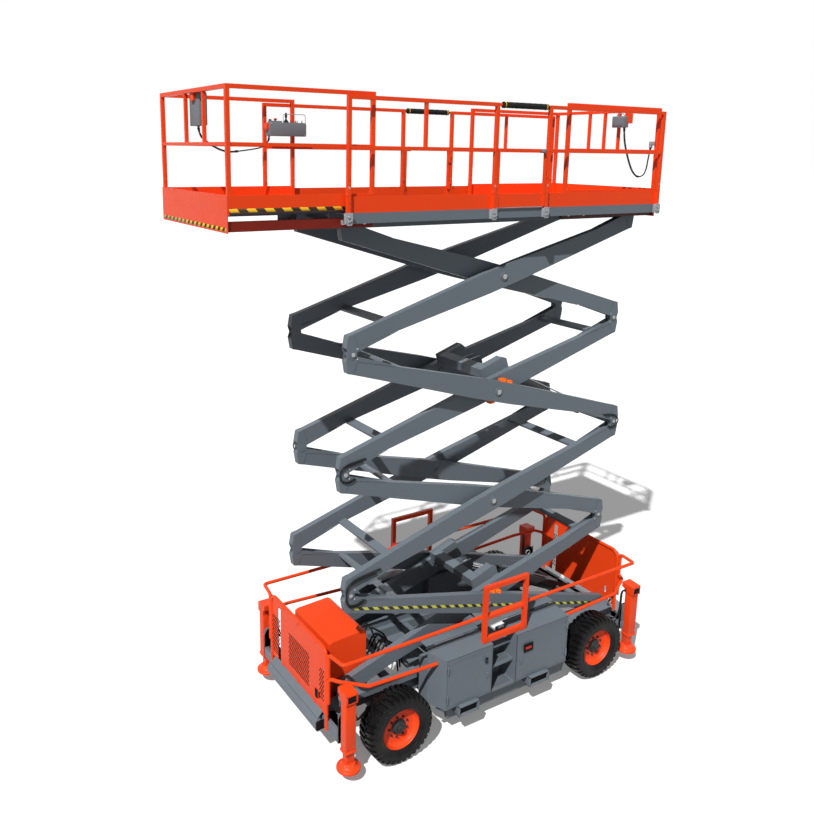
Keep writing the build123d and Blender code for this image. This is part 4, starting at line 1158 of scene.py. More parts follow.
# --- Wheels ---
@dataclass
class Wheel:
    """A foam-filled tyre with bar tread on a dished rim."""

    corner: str
    centre: Point
    out: float
    tyre_radius: float = 0.414
    tread_depth: float = 0.026
    half_width: float = 0.1525
    bead_radius: float = 0.238
    lug_count: int = 34
    hub_radius: float = 0.070

    def build(self) -> None:
        """Makes the wheel's pieces, which turn with it."""
        tyre = self._tyre()
        rim = self._rim()
        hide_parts(f"{self.corner}_tyre")
        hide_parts(f"{self.corner}_rim")
        hub, bolts = self._hub()
        ride(f"{self.corner}_wheel", tyre, rim, hub, bolts)

    def _round(self, shape: Shape, profile: Sequence[tuple[float, float]], steps: int) -> Shape:
        """Turns a closed outline about the wheel's axle.

        Args:
            shape: Where it is drawn.
            profile: Points (radius, distance outboard).
            steps: How many steps round.

        Returns:
            The shape.
        """
        x, y, z = self.centre
        rings = [
            [(x + r * cos, y + d * self.out, z + r * sin) for r, d in profile]
            for cos, sin in circle(steps)
        ]
        return shape.loft(rings, closed=True)

    def _tyre(self) -> bpy.types.Object:
        """Carcass with rounded shoulders and staggered tread bars.

        Returns:
            The new object.
        """
        base, w = self.tyre_radius - self.tread_depth, self.half_width
        outer = [
            (self.bead_radius, w * 0.78), (0.256, w * 0.86), (0.276, w * 0.945), (0.308, w * 0.985),
            (0.340, w * 0.98), (0.366, w * 0.95), (base - 0.006, w * 0.86), (base, w * 0.70),
        ]
        profile = outer + [(r, -d) for r, d in reversed(outer)]
        carcass = self._round(Shape(), profile, 88)
        for radius in (0.286, 0.352):
            carcass = self._bead_line(carcass, radius)
        lug = Shape()
        for sign in (1, -1):
            self._lug(lug, sign)
        mesh = tree_for(Repeat.RING).mesh(
            f"{self.corner}_tread", lug, TREAD, Count=self.lug_count,
            Turn=(0.0, math.tau / self.lug_count, 0.0), Centre=tuple(self.centre),
        )
        carcass.mesh.from_mesh(mesh)
        bpy.data.meshes.remove(mesh)
        return carcass.piece(f"{self.corner}_tyre_tread", TREAD, 28)

    def _bead_line(self, shape: Shape, radius: float) -> Shape:
        """Fine raised moulding line round the outer sidewall.

        Args:
            shape: Where it is drawn.
            radius: The line's radius about the axle.

        Returns:
            The shape.
        """
        d = self.half_width * (0.955 if radius < 0.3 else 0.970)
        ring = [(radius - 0.004, d), (radius, d + 0.0055), (radius + 0.004, d), (radius, d - 0.006)]
        return self._round(shape, ring, 72)

    def _lug(self, shape: Shape, sign: int) -> None:
        """One tread bar from the tyre's middle round its shoulder.

        Args:
            shape: Where it is drawn.
            sign: Which half of the tread it is on.
        """
        lean = 0.5 if sign > 0 else 0.0
        pitch = math.tau / self.lug_count
        top, base = self.tyre_radius, self.tyre_radius - self.tread_depth
        stations = (
            (0.004, 0.34, 0.013, top, base - 0.004), (0.055, 0.18, 0.015, top, base - 0.004),
            (0.105, 0.02, 0.019, top - 0.002, base - 0.006),
            (0.130, -0.04, 0.020, top - 0.008, base - 0.016),
            (0.1480, -0.06, 0.020, top - 0.030, base - 0.040),
            (0.1500, -0.06, 0.017, top - 0.056, base - 0.056),
        )
        rings = []
        for across, turn, half, high, low in stations:
            middle = (turn + lean) * pitch
            ring = []
            for radius, width in (
                (low, half + 0.004), (high, half), (high, -half), (low, -half - 0.004),
            ):
                angle = middle + width / self.tyre_radius
                ring.append((radius * math.cos(angle), across * sign, radius * math.sin(angle)))
            rings.append(ring)
        shape.loft(rings)

    def _rim(self) -> bpy.types.Object:
        """Dished orange rim with rolled lips."""
        profile = [
            (0.247, 0.113), (0.252, 0.118), (0.250, 0.121), (0.243, 0.1205), (0.236, 0.112),
            (0.231, 0.096), (0.226, 0.074), (0.216, 0.061), (0.204, 0.052), (0.180, 0.0475),
            (0.100, 0.0465), (0.060, 0.0465), (0.060, 0.034), (0.190, 0.034), (0.212, 0.040),
            (0.222, 0.010), (0.226, -0.095), (0.236, -0.112), (0.243, -0.1205), (0.250, -0.121),
            (0.252, -0.118), (0.247, -0.113), (0.238, -0.098), (0.235, 0.0), (0.238, 0.098),
        ]
        return self._round(Shape(), profile, 80).piece(f"{self.corner}_dished_rim", ORANGE)

    def _hub(self) -> tuple[bpy.types.Object, bpy.types.Object]:
        """Planetary hub with its cover, and the ring of wheel bolts.

        Returns:
            The two new objects.
        """
        r = self.hub_radius
        profile = [
            (0.096, 0.040), (0.096, 0.050), (0.091, 0.054), (0.076, 0.056), (r, 0.062), (r, 0.080),
            (r * 0.94, 0.085), (r * 0.62, 0.087), (r * 0.60, 0.104), (r * 0.52, 0.110),
            (r * 0.24, 0.111), (r * 0.22, 0.105), (0.001, 0.105),
        ]
        out = (0, self.out, 0)
        hub = Shape().turned(profile, self.centre, out, 48).piece(f"{self.corner}_hub", DARK)
        places = []
        for count, radius, depth, size in ((9, 0.122, 0.046, 0.9), (8, 0.084, 0.054, 0.5)):
            for cos, sin in circle(count, 0.5):
                at = Vector(self.centre) + Vector((radius * cos, depth * self.out, radius * sin))
                places.append(Place(at, out, size))
        return hub, scattered(f"{self.corner}_wheel_bolts", bolt(0.0125, 0.020), DARK, places)


# --- Chassis ---
@dataclass
class Outrigger:
    """One levelling leg: square column with a hollow head, bracket, hoses and round foot."""

    corner: str
    x: float
    side: int
    end: int
    half: float = 0.064
    inner: float = 0.975
    outer: float = 1.085
    foot_y: float = 1.020
    foot_radius: float = 0.134

    def build(self) -> None:
        """Makes the fixed housing and the sliding leg."""
        self._housing()
        self._bracket()
        self._leg()

    def _housing(self) -> None:
        """Column and head, with the window's rim, and painted shade: dark sheets in the head's open
        window and over the column's open foot.
        """
        s, x = self.side, self.x + 0.012 * self.end
        shell = Shape().box(
            (x - self.half, s * self.inner, 0.372), (x + self.half, s * self.outer, 1.02), 0.006
        )
        head = (
            (0.922, 1.050), (0.922, 1.116), (1.104, 1.101), (1.104, 0.985), (0.966, 0.985),
            (0.966, 1.036),
        )
        wide = self.half + 0.009
        shell.prism([(x - wide, s * y, z) for y, z in head], (2 * wide, 0, 0))
        rim = (
            (-0.062, 1.082, 0.062, 1.092), (-0.062, 0.992, 0.062, 1.002),
            (-0.062, 0.992, -0.052, 1.092), (0.052, 0.992, 0.062, 1.092),
        )
        for x0, z0, x1, z1 in rim:
            shell.box((x + x0, s * 1.1035, z0), (x + x1, s * 1.1085, z1), 0.001)
        shell.box(
            (x - self.half - 0.006, s * (self.inner - 0.006), 0.372),
            (x + self.half + 0.006, s * (self.outer + 0.006), 0.402), 0.003,
        )
        # Painted shade: dark sheets where the hollow head and column open.
        mouth = Shape().box((x - 0.052, s * 1.1035, 1.002), (x + 0.052, s * 1.1052, 1.082), 0.0006)
        mouth.box(
            (x - self.half + 0.006, s * (self.inner + 0.006), 0.3712),
            (x + self.half - 0.006, s * (self.outer - 0.006), 0.374), 0.0005,
        )
        housing = shell.piece(f"{self.corner}_leg_housing", ORANGE)
        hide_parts("outrigger_housings")
        bolts = [
            Place((x + dx, s * self.outer, z), (0, s, 0), 0.7)
            for dx in (-0.042, 0.042)
            for z in (0.44, 0.93)
        ]
        ride(
            "chassis", housing, mouth.piece(f"{self.corner}_head_mouth", OPENING_SHADE_AND_SEAMS),
            scattered(f"{self.corner}_housing_bolts", bolt(0.010), ORANGE, bolts),
        )

    def _bracket(self) -> None:
        """Grey frame plates that carry the column, and its two hoses."""
        s, x = self.side, self.x
        frame = Shape().box((x - 0.0825, s * 0.925, 0.425), (x + 0.0825, s * 0.937, 0.790), 0.002)
        frame.box((x - 0.050, s * 0.936, 0.450), (x + 0.060, s * 0.980, 0.780), 0.003)
        frame.box((x - 0.0825, 0, 0.425), (x + 0.0825, s * 0.925, 0.550), 0.004)
        frame.box(
            (x + self.end * 0.020, s * 0.972, 0.46), (x - self.end * 0.098, s * 0.990, 0.56), 0.003
        )
        plates = frame.piece(f"{self.corner}_leg_bracket", GREY)
        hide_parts("outrigger_housings")
        hoses = Shape()
        for i in range(2):
            out = -self.end * (self.half + 0.018 + 0.020 * i)
            hoses.bent(
                [
                    (x + out * 0.6, s * (self.inner + 0.02), 1.030),
                    (x + out, s * (self.inner + 0.01), 1.035), (x + out * 1.1, s * 0.955, 0.98),
                    (x + out * 1.1, s * 0.955, 0.84), (x + out * 1.2, s * 0.952, 0.70),
                    (x + out * 1.7, s * 0.93, 0.62),
                    (x - self.end * 0.22, s * 0.90, 0.60 + 0.03 * i),
                    (x - self.end * 0.33, s * 0.86, 0.63 + 0.02 * i),
                ],
                0.0085,
            )
        ride("chassis", plates, hoses.piece(f"{self.corner}_leg_hoses", SHEATH))

    def _leg(self) -> None:
        """Square inner leg with its dished foot, which slide together."""
        s, r = self.side, self.foot_radius
        at = (self.x, s * self.foot_y, 0.150)
        neck = Shape().box(
            (at[0] - 0.050, at[1] - 0.046, 0.236), (at[0] + 0.050, at[1] + 0.046, 0.750), 0.006
        )
        foot = Shape().turned(
            (
                (r - 0.006, 0.0), (r, 0.005), (r, 0.030), (r - 0.006, 0.037), (r - 0.022, 0.041),
                (0.096, 0.052), (0.084, 0.064), (0.080, 0.084), (0.076, 0.090), (0.030, 0.092),
            ),
            at, UP, 64,
        )
        piece = foot.piece(f"{self.corner}_leg_foot", ORANGE)
        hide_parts(f"{self.corner}_leg")
        bolts = [
            Place((at[0] + 0.079 * cos, at[1] + 0.079 * sin, 0.226), (cos, sin, 0), 0.45)
            for cos, sin in circle(6, 0.5)
        ]
        ride(
            f"{self.corner}_outrigger", piece, neck.piece(f"{self.corner}_inner_leg", ORANGE),
            scattered(f"{self.corner}_foot_bolts", bolt(0.010), STEEL, bolts),
        )


@dataclass
class EndGuards:
    """Perforations, slots and fasteners of the two end guards and the bumper; the perforations,
    slot and bumper mouths are painted shade, dark discs and sheets where the openings are.
    """

    plate: float = 2.267
    hole: float = 0.0095
    pitch: float = 0.034
    fields: tuple[tuple[float, float, float, float], ...] = (
        (-0.307, 0.230, 0.72, 1.15), (-0.655, -0.520, 0.74, 1.14), (0.450, 0.660, 0.66, 1.18),
    )
    bolt_columns: tuple[float, ...] = (-0.66, -0.42, 0.0, 0.38, 0.67)
    bolt_rows: tuple[float, float] = (0.63, 1.37)

    def build(self) -> None:
        """Makes the holes, slot and fasteners of both guards, and the bumper's shelf and mouths;
        the holes, slot and mouths are painted shade.
        """
        for end, sign in ENDS:
            x = self.plate * sign
            for i, (y0, y1, z0, z1) in enumerate(self.fields):
                # Painted shade: each perforation is a dark disc set into the plate.
                hole = Shape().turned(((self.hole, -0.0036), (self.hole, 0.0036)), ORIGIN, UP, 8)
                columns = int((y1 - y0) / self.pitch)
                rows = int((z1 - z0) / (self.pitch * ROW_SHARE))
                piece = repeated(
                    f"{end}_guard_holes_{i + 1}", Repeat.GRID, hole, OPENING_SHADE_AND_SEAMS, Columns=columns,
                    Rows=rows, Pitch=self.pitch, Tilt=(math.pi / 2, 0.0, math.pi / 2),
                    Centre=(x, (y0 + y1) / 2, (z0 + z1) / 2),
                )
                ride("chassis", piece)
            places = [
                Place((x + sign * 0.004, y, z), (sign, 0, 0), 0.9)
                for y in self.bolt_columns
                for z in self.bolt_rows
            ]
            ride("chassis", scattered(f"{end}_guard_bolts", bolt(), ORANGE, places))
        # Painted shade: a dark sheet where the guard's slot opens.
        slots = Shape()
        slots.box(
            (-self.plate - 0.0042, -0.490, 0.700), (-self.plate - 0.002, -0.428, 0.812), 0.0006
        )
        shelf = Shape().prism(
            [
                (-2.330, -0.60, 0.538), (-2.330, -0.60, 0.548), (-2.262, -0.60, 0.625),
                (-2.252, -0.60, 0.620),
            ],
            (0, 1.20, 0),
        )
        ride("chassis", shelf.piece("bumper_shelf", GREY))
        # Painted shade: dark sheets over the bumper tube's open ends.
        mouths = Shape()
        for side in (-1, 1):
            mouths.box((-2.358, side * 0.6185, 0.410), (-2.222, side * 0.6195, 0.526), 0.0004)
        ride("chassis", slots.piece("guard_slots", OPENING_SHADE_AND_SEAMS), mouths.piece("bumper_mouths", OPENING_SHADE_AND_SEAMS))


@dataclass
class Cabinets:
    """Doors' latches, seams, treads and the fork tubes' mouths on both sides; the mouths are
    painted shade, dark sheets over the tubes' open ends.
    """

    face: float = 1.1
    latches: tuple[tuple[str, float], ...] = (("front", -0.336), ("rear", 0.184))
    fork_tubes: tuple[tuple[float, float], ...] = ((-0.763, -0.485), (0.323, 0.620))
    stair: tuple[float, float] = (-0.262, 0.110)
    roofs: tuple[tuple[float, float], ...] = ((-1.03, -0.262), (0.11, 0.951))
    steps: tuple[tuple[float, float, float], ...] = (
        (0.430, 1.080, 0.24), (0.720, 1.040, 0.19), (0.930, 0.980, 0.14),
    )

    def build(self) -> None:
        """Makes both sides' fittings."""
        for side, sign in SIDES:
            self._side(side, sign)

    def _side(self, side: str, sign: int) -> None:
        """Fittings of one side of the machine.

        Args:
            side: The side's name.
            sign: The side's sign on the Y axis.
        """
        face = self.face * sign
        for door, latch in self.latches:
            low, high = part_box(f"{side}_{door}_door")
            proud = (low.y if sign < 0 else high.y) + sign * 0.0005
            self._door(f"{side}_{door}", low, high, proud, sign, latch)
        mouths, frames = Shape(), Shape()
        for x0, x1 in self.fork_tubes:
            low, high = (x0 + 0.012, sign * 1.1205, 0.330), (x1 - 0.012, sign * 1.1215, 0.418)
            # Painted shade: a dark sheet in each fork tube's open end.
            mouths.box(low, high, 0.0004)
            frame = (
                (x0 - 0.010, 0.424, x1 + 0.010, 0.438), (x0 - 0.010, 0.312, x1 + 0.010, 0.324),
                (x0 - 0.010, 0.312, x0 + 0.006, 0.438), (x1 - 0.006, 0.312, x1 + 0.010, 0.438),
            )
            for a0, z0, a1, z1 in frame:
                frames.box((a0, sign * 1.085, z0), (a1, sign * 1.150, z1), 0.003)
        seams = Shape()
        for x in self.stair:
            seams.box((x - 0.003, face, 0.44), (x + 0.003, face + sign * 0.0012, 1.06), 0.0003)
        lip = Shape()
        for x0, x1 in self.roofs:
            lip.box((x0, sign * 0.812, 1.09), (x1, sign * 0.872, 1.104), 0.003)
            lip.box((x0, sign * 0.700, 1.12), (x1, sign * 0.820, 1.132), 0.003)
        ride(
            "chassis", mouths.piece(f"{side}_fork_mouths", OPENING_SHADE_AND_SEAMS),
            frames.piece(f"{side}_fork_frames", GREY), seams.piece(f"{side}_cabinet_seams", OPENING_SHADE_AND_SEAMS),
            lip.piece(f"{side}_roof_lips", GREY),
        )
        self._treads(side, sign)

    def _treads(self, side: str, sign: int) -> None:
        """Edges and grip studs of one side's steps.

        Args:
            side: The side's name.
            sign: The side's sign on the Y axis.
        """
        x0, x1 = self.stair
        treads = Shape()
        for z, out, _ in self.steps:
            treads.box(
                (x0, sign * (out + 0.004), z - 0.024), (x1, sign * (out - 0.002), z + 0.006), 0.002
            )
        ride("chassis", treads.piece(f"{side}_tread_edges", GREY))
        for i, (z, out, deep) in enumerate(self.steps):
            lug = Shape().turned(((0.0085, 0), (0.007, 0.004)), ORIGIN, UP, 10)
            grip = repeated(
                f"{side}_tread_grip_{i + 1}", Repeat.GRID, lug, GREY, Columns=12,
                Rows=max(3, int(deep / 0.026)), Pitch=0.028, Tilt=ORIGIN,
                Centre=(-0.083, sign * (out - deep / 2 - 0.01), z + 0.004),
            )
            ride("chassis", grip)

    def _door(
        self, name: str, low: Vector, high: Vector, proud: float, sign: int, latch: float
    ) -> None:
        """Handle pocket, lock, edge seam and hinges of one door; the pocket is painted shade, a
        dark sheet standing for the shade of a recess.

        Args:
            name: The door's name.
            low: Its lowest corner.
            high: Its highest corner.
            proud: Where its outer face is on the Y axis.
            sign: The side's sign on the Y axis.
            latch: Where its free edge is on the X axis.
        """
        rear = "rear" in name
        x, wide, tall = (latch + 0.10, 0.075, (0.80, 0.91)) if rear else (
            latch - 0.03, 0.020, (0.86, 0.93),
        )
        grab, proud_by, reach = (0.045, 0.009, (0.835, 0.865)) if rear else (
            0.011, 0.008, (0.872, 0.915),
        )
        # Painted shade: a dark sheet standing for the shade in the handle's recess.
        pocket = Shape().box(
            (x - wide, proud, tall[0]), (x + wide, proud + sign * 0.0015, tall[1]), 0.0006
        )
        handle = Shape().box(
            (x - grab, proud, reach[0]), (x + grab, proud + sign * proud_by, reach[1]), 0.003
        )
        seam = Shape()
        for z in (low.z + 0.012, high.z - 0.014):
            seam.box(
                (low.x + 0.012, proud - sign * 0.0004, z),
                (high.x - 0.012, proud + sign * 0.0006, z + 0.002), 0.0002,
            )
        hinge_x = high.x - 0.006 if rear else low.x + 0.006
        hinges = Shape()
        for z in (0.56, 0.94):
            hinges.bar(
                (hinge_x, proud - sign * 0.004, z - 0.045),
                (hinge_x, proud - sign * 0.004, z + 0.045), 0.0085, 14,
            )
        body = f"{name}_door"
        ride(
            body, pocket.piece(f"{name}_handle_pocket", OPENING_SHADE_AND_SEAMS),
            handle.piece(f"{name}_handle", RED if rear else DARK),
            seam.piece(f"{name}_door_folds", GREY), hinges.piece(f"{name}_hinges", GREY),
        )


@dataclass
class Chassis:
    """Side channels, hydraulic manifold, hoses and lugs."""

    steered: tuple[tuple[float, float], ...] = (
        (-0.590, 0.752), (-0.628, 0.752), (-0.670, 0.712), (-0.670, 0.645), (-0.662, 0.645),
        (-0.662, 0.708), (-0.625, 0.743), (-0.590, 0.743),
    )
    fixed: tuple[tuple[float, float], ...] = (
        (-0.640, 0.752), (-0.690, 0.752), (-0.795, 0.690), (-0.795, 0.503), (-0.700, 0.503),
        (-0.700, 0.512), (-0.786, 0.512), (-0.786, 0.684), (-0.688, 0.743), (-0.640, 0.743),
    )
    coil_rows: tuple[float, ...] = (-0.32, -0.25, -0.18, -0.11, 0.09, 0.17)
    hose_rows: tuple[float, ...] = (-0.33, -0.27, -0.21, -0.14, -0.08, 0.08, 0.16)
    rail_bolts: tuple[float, ...] = (-2.2, -1.9, -1.2, 1.2, 1.9, 2.2)
    ring_at: tuple[float, float] = (2.03, 0.80)
    ring_radius: float = 0.036

    def build(self) -> None:
        """Makes the chassis' own fittings."""
        self._channels()
        self._manifold()
        self._lugs()

    def _channels(self) -> None:
        """Folded grey channel along each side between outriggers and cabinets."""
        channel = Shape()
        for x0, x1, outline in ((-2.09, -1.04, self.steered), (0.955, 2.09, self.fixed)):
            channel.prism([(x0, y, z) for y, z in outline], (x1 - x0, 0, 0))
        channel.mirrored()
        ride("chassis", channel.piece("side_channels", GREY))

    def _manifold(self) -> None:
        """Valve block behind the hood with its coils, fittings and hose loops."""
        block = Shape().box((-1.585, -0.36, 0.70), (-1.43, -0.06, 0.805), 0.004)
        block.box((-1.585, 0.05, 0.70), (-1.45, 0.24, 0.805), 0.004)
        coils = Shape()
        for y in self.coil_rows:
            coils.bar((-1.50, y, 0.80), (-1.50, y, 0.842), 0.020, 18)
            coils.bar((-1.50, y, 0.842), (-1.50, y, 0.850), 0.010, 6)
        hoses = Shape()
        for i, y in enumerate(self.hose_rows):
            reach = 0.28 + 0.07 * (i % 3)
            hoses.bent(
                [
                    (-1.43, y, 0.78), (-1.37, y, 0.785), (-1.30, y - 0.01, 0.97 + 0.02 * (i % 2)),
                    (-1.22, y - 0.03 * (i % 3), 0.98), (-1.43 + reach, y - 0.08, 0.80),
                    (-1.43 + reach, y - 0.10, 0.62),
                ],
                0.011,
            )
        ride(
            "chassis", block.piece("valve_blocks", STEEL), coils.piece("valve_coils", DARK),
            hoses.piece("valve_hoses", SHEATH),
        )

    def _lugs(self) -> None:
        """Tie-down rings at the ends of the chassis, and the bolts of the base rails."""
        lugs = Shape()
        far, up = self.ring_at
        for x in (-far, far):
            ring = [
                (x + self.ring_radius * cos, -0.80, up + self.ring_radius * sin)
                for cos, sin in circle(10)
            ]
            for start, finish in zip(ring, ring[1:] + ring[:1]):
                lugs.bar(start, finish, 0.0095, 10)
        lugs.mirrored()
        ride("chassis", lugs.piece("tie_down_rings", STEEL))
        places = [
            Place((x, sign * 1.0065, 1.385), (0, sign, 0), 0.7)
            for _, sign in SIDES for x in self.rail_bolts
        ]
        ride("chassis", scattered("base_rail_bolts", bolt(0.009, 0.007), ORANGE, places))


# --- Scissor stack ---
@dataclass
class Arm:
    """Where the points of one linkage arm are."""

    stage: int
    outer: bool
    link: float = 4.1667
    angle: float = math.radians(18.86)
    feet: tuple[float, float] = (-1.959, 1.984)
    foot_z: float = 0.614
    stage_rise: float = 1.347
    beam_offset: float = 0.130
    outer_faces: tuple[float, float] = (0.581, 0.661)
    inner_faces: tuple[float, float] = (0.449, 0.529)

    @property
    def body(self) -> str:
        """The body that the arm is."""
        return f"{'outer' if self.outer else 'inner'}_arms_{self.stage}"

    @property
    def faces(self) -> tuple[float, float]:
        """How far out the inner and the outer face of its beams are."""
        return self.outer_faces if self.outer else self.inner_faces

    def at(self, u: float, v: float, y: float) -> Vector:
        """A point u along the arm and v across it.

        Args:
            u: How far along.
            v: How far across.
            y: Where on the Y axis.

        Returns:
            The point.
        """
        rear = (self.stage % 2 == 1) == self.outer
        foot, rise = (self.feet[1], -1) if rear else (self.feet[0], 1)
        sin, cos = math.sin(self.angle), math.cos(self.angle)
        x = foot + rise * (u * cos - v * sin)
        z = self.foot_z + (self.stage - 1) * self.stage_rise + u * sin + v * cos
        return Vector((x, y, z))

    def from_end(self, lower: bool, u: float, v: float, y: float) -> Vector:
        """The same for a point measured from the arm's lower or upper end."""
        return self.at(u, v, y) if lower else self.at(self.link - u, -v, y)

    def beam(self, u: float) -> float:
        """How far across the arm its beam's middle is."""
        return self.beam_offset * (1 - 2 * u / self.link)


@dataclass
class ScissorStack:
    """Pointed beam ends, end plates, pins, hoses and tape of the eight arm pairs."""

    stages: int = 4
    pin_proud: float = 0.0125
    cap_proud: float = 0.0006
    tape_thick: float = 0.0032
    hose_inset: float = 0.25
    hose_spread: float = 0.026
    loop_proud: float = 0.0150
    plate_thick: float = 0.0025
    plate_gap: float = 0.0010
    nose_line: tuple[tuple[float, float], ...] = ((-0.056, 0.0), (-0.056, 0.084), (0.010, 0.2045))
    cap_line: tuple[tuple[float, float], ...] = (
        (-0.030, 0.0565), (-0.0505, 0.0920), (0.010, 0.2040), (0.040, 0.2030), (0.040, 0.058),
    )
    plate_line: tuple[tuple[float, float], ...] = (
        (0.052, 0.004), (0.045, -0.027), (0.020, -0.048), (-0.018, -0.050), (-0.045, -0.034),
        (-0.056, -0.008), (-0.056, 0.084), (0.010, 0.2045), (0.075, 0.199), (0.075, 0.0585),
        (0.575, 0.0065), (0.575, 0.0045),
    )
    loops: tuple[tuple[int, bool, tuple[int, ...], float, float, float], ...] = (
        (1, True, (-1,), 0.60, 0.95, 0.0090), (2, True, (-1,), 0.70, 0.52, 0.0065),
        (2, False, (-1, 1), 0.72, 0.62, 0.0070),
    )
    loop_bend: float = 0.09
    loop_line: tuple[tuple[float, float], ...] = (
        (0.40, 0.235), (0.24, 0.215), (0.08, 0.195), (-0.05, 0.150), (-0.105, 0.060),
        (-0.100, -0.050), (-0.050, -0.130), (0.040, -0.155), (0.130, -0.145), (0.200, -0.100),
    )

    def build(self) -> None:
        """Makes the fittings of every arm pair."""
        for stage in range(1, self.stages + 1):
            for outer in (True, False):
                self._arm(Arm(stage, outer))
        for stage, outer, sides, reach, size, radius in self.loops:
            self._loop(Arm(stage, outer), sides, reach, size, radius)
        self._tape()
        self._clamps()

    def _arm(self, arm: Arm) -> None:
        """Pin heads, bolts, beams, end plates and hoses of one arm pair.

        Args:
            arm: The arm pair.
        """
        face = arm.faces[1]
        pin_head = ((0.020, 0), (0.0235, 0.002), (0.0235, 0.005), (0.018, 0.0065))
        middle_head = ((0.026, 0), (0.030, 0.002), (0.030, 0.006), (0.022, 0.0075))
        heads = Shape()
        bolts = []
        last = arm.stage == self.stages
        for u in (0.0, arm.link):
            for _, sign in SIDES:
                if u == 0.0 or last:
                    head = arm.at(u, 0, sign * (face + self.pin_proud))
                    heads.turned(pin_head, head, (0, sign, 0), 28)
                if u == 0.0 or not last:
                    along, across = (0.068, 0.034) if u == 0.0 else (-0.068, -0.034)
                    seat = face + (self.plate_gap + self.plate_thick) * (2 if u == 0.0 else 1)
                    bolts.append(Place(arm.at(u + along, across, sign * seat), (0, sign, 0), 0.7))
        if arm.outer:
            for _, sign in SIDES:
                middle = arm.at(arm.link / 2, 0, sign * (face + self.pin_proud))
                heads.turned(middle_head, middle, (0, sign, 0), 32)
                for cos, sin in circle(6):
                    at = middle + Vector((0.042 * cos, -sign * self.pin_proud, 0.042 * sin))
                    bolts.append(Place(at, (0, sign, 0), 0.55))
        ride(
            arm.body, heads.piece(f"{arm.body}_pin_heads", STEEL),
            scattered(f"{arm.body}_bolts", bolt(0.010, 0.008), STEEL, bolts),
        )
        self._trimmed(arm)
        self._ends(arm)
        self._hoses(arm)

    def _trimmed(self, arm: Arm) -> None:
        """Stands in for an arm pair, with its beams' ends cut back to a blunt point.

        Args:
            arm: The arm pair.
        """
        work = bmesh.new()
        work.from_mesh(FRAME["nodes"][arm.body].data)
        bmesh.ops.remove_doubles(work, verts=work.verts, dist=0.00002)
        middle = arm.at(arm.link / 2, 0.0, 0.0)
        for lower in (True, False):
            for first, second in zip(self.nose_line, self.nose_line[1:]):
                ends = [arm.from_end(lower, u, v, 0.0) for u, v in (first, second)]
                run = ends[1] - ends[0]
                normal = Vector((-run.z, 0.0, run.x)).normalized()
                if (middle - ends[0]).dot(normal) > 0:
                    normal = -normal
                cut = bmesh.ops.bisect_plane(
                    work, geom=work.verts[:] + work.edges[:] + work.faces[:], dist=0.00001,
                    plane_co=ends[0], plane_no=normal, clear_outer=True,
                )
                rim = [part for part in cut["geom_cut"] if isinstance(part, bmesh.types.BMEdge)]
                bmesh.ops.triangle_fill(work, use_beauty=True, edges=rim)
        bmesh.ops.recalc_face_normals(work, faces=work.faces)
        mesh = bpy.data.meshes.new(f"{arm.body}_beams")
        work.to_mesh(mesh)
        work.free()
        piece = as_piece(f"{arm.body}_beams", mesh, GREY)
        mesh.shade_flat()
        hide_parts(arm.body)
        ride(arm.body, piece)

    def _ends(self, arm: Arm) -> None:
        """Chamfered caps and face plates that close the beams down to their pins.

        Args:
            arm: The arm pair.
        """
        inner, outer = arm.faces
        caps = Shape()
        for _, sign in SIDES:
            for lower in (True, False):
                base = self.plate_gap + (self.plate_gap + self.plate_thick if lower else 0.0)
                spots = (
                    (self.cap_line, inner - self.cap_proud, outer + self.cap_proud),
                    (self.plate_line, outer + base, outer + base + self.plate_thick),
                    (self.plate_line, inner - base - self.plate_thick, inner - base),
                )
                for line, y0, y1 in spots:
                    outline = [arm.from_end(lower, u, v, sign * y0) for u, v in line]
                    caps.prism(outline, (0, sign * (y1 - y0), 0))
        ride(arm.body, caps.piece(f"{arm.body}_end_plates", GREY))

    def _hoses(self, arm: Arm) -> None:
        """Hydraulic hose pair along the inside of the beams, with clamps.

        Args:
            arm: The arm pair.
        """
        if arm.outer:
            return
        inner = arm.faces[0]
        run = arm.link - 2 * self.hose_inset
        stations = [self.hose_inset + run * step / 8 for step in range(9)]
        hoses, clamps = Shape(), Shape()
        for row in range(2):
            points = []
            for u in stations:
                over = 0.085 if abs(u - arm.link / 2) < 0.2 else 0.050
                points.append(
                    arm.at(u, arm.beam(u) + over - self.hose_spread * row, -inner + 0.016)
                )
            hoses.bent(points, 0.009)
        corners = ((-0.018, -0.034), (0.018, -0.034), (0.018, 0.034), (-0.018, 0.034))
        for u in stations[1::2]:
            middle = arm.beam(u) + 0.037
            outline = [arm.at(u + a, middle + b, -inner) for a, b in corners]
            clamps.prism(outline, (0, 0.030, 0))
        ride(
            arm.body, hoses.piece(f"{arm.body}_hoses", SHEATH),
            clamps.piece(f"{arm.body}_hose_clamps", ORANGE),
        )

    def _tape(self) -> None:
        """Striped warning tape along the lowest outer arms."""
        arm = Arm(1, True)
        start, stop = 0.16, arm.link - 0.10
        line = ((start, -0.040), (stop, -0.040), (stop, -0.008), (start, -0.008))
        tape = Shape()
        for _, sign in SIDES:
            outline = [arm.at(u, arm.beam(u) + v, sign * arm.faces[1]) for u, v in line]
            tape.prism(outline, (0, sign * self.tape_thick, 0))
        ride(arm.body, tape.piece("lower_arm_tape", ARM_TAPE))

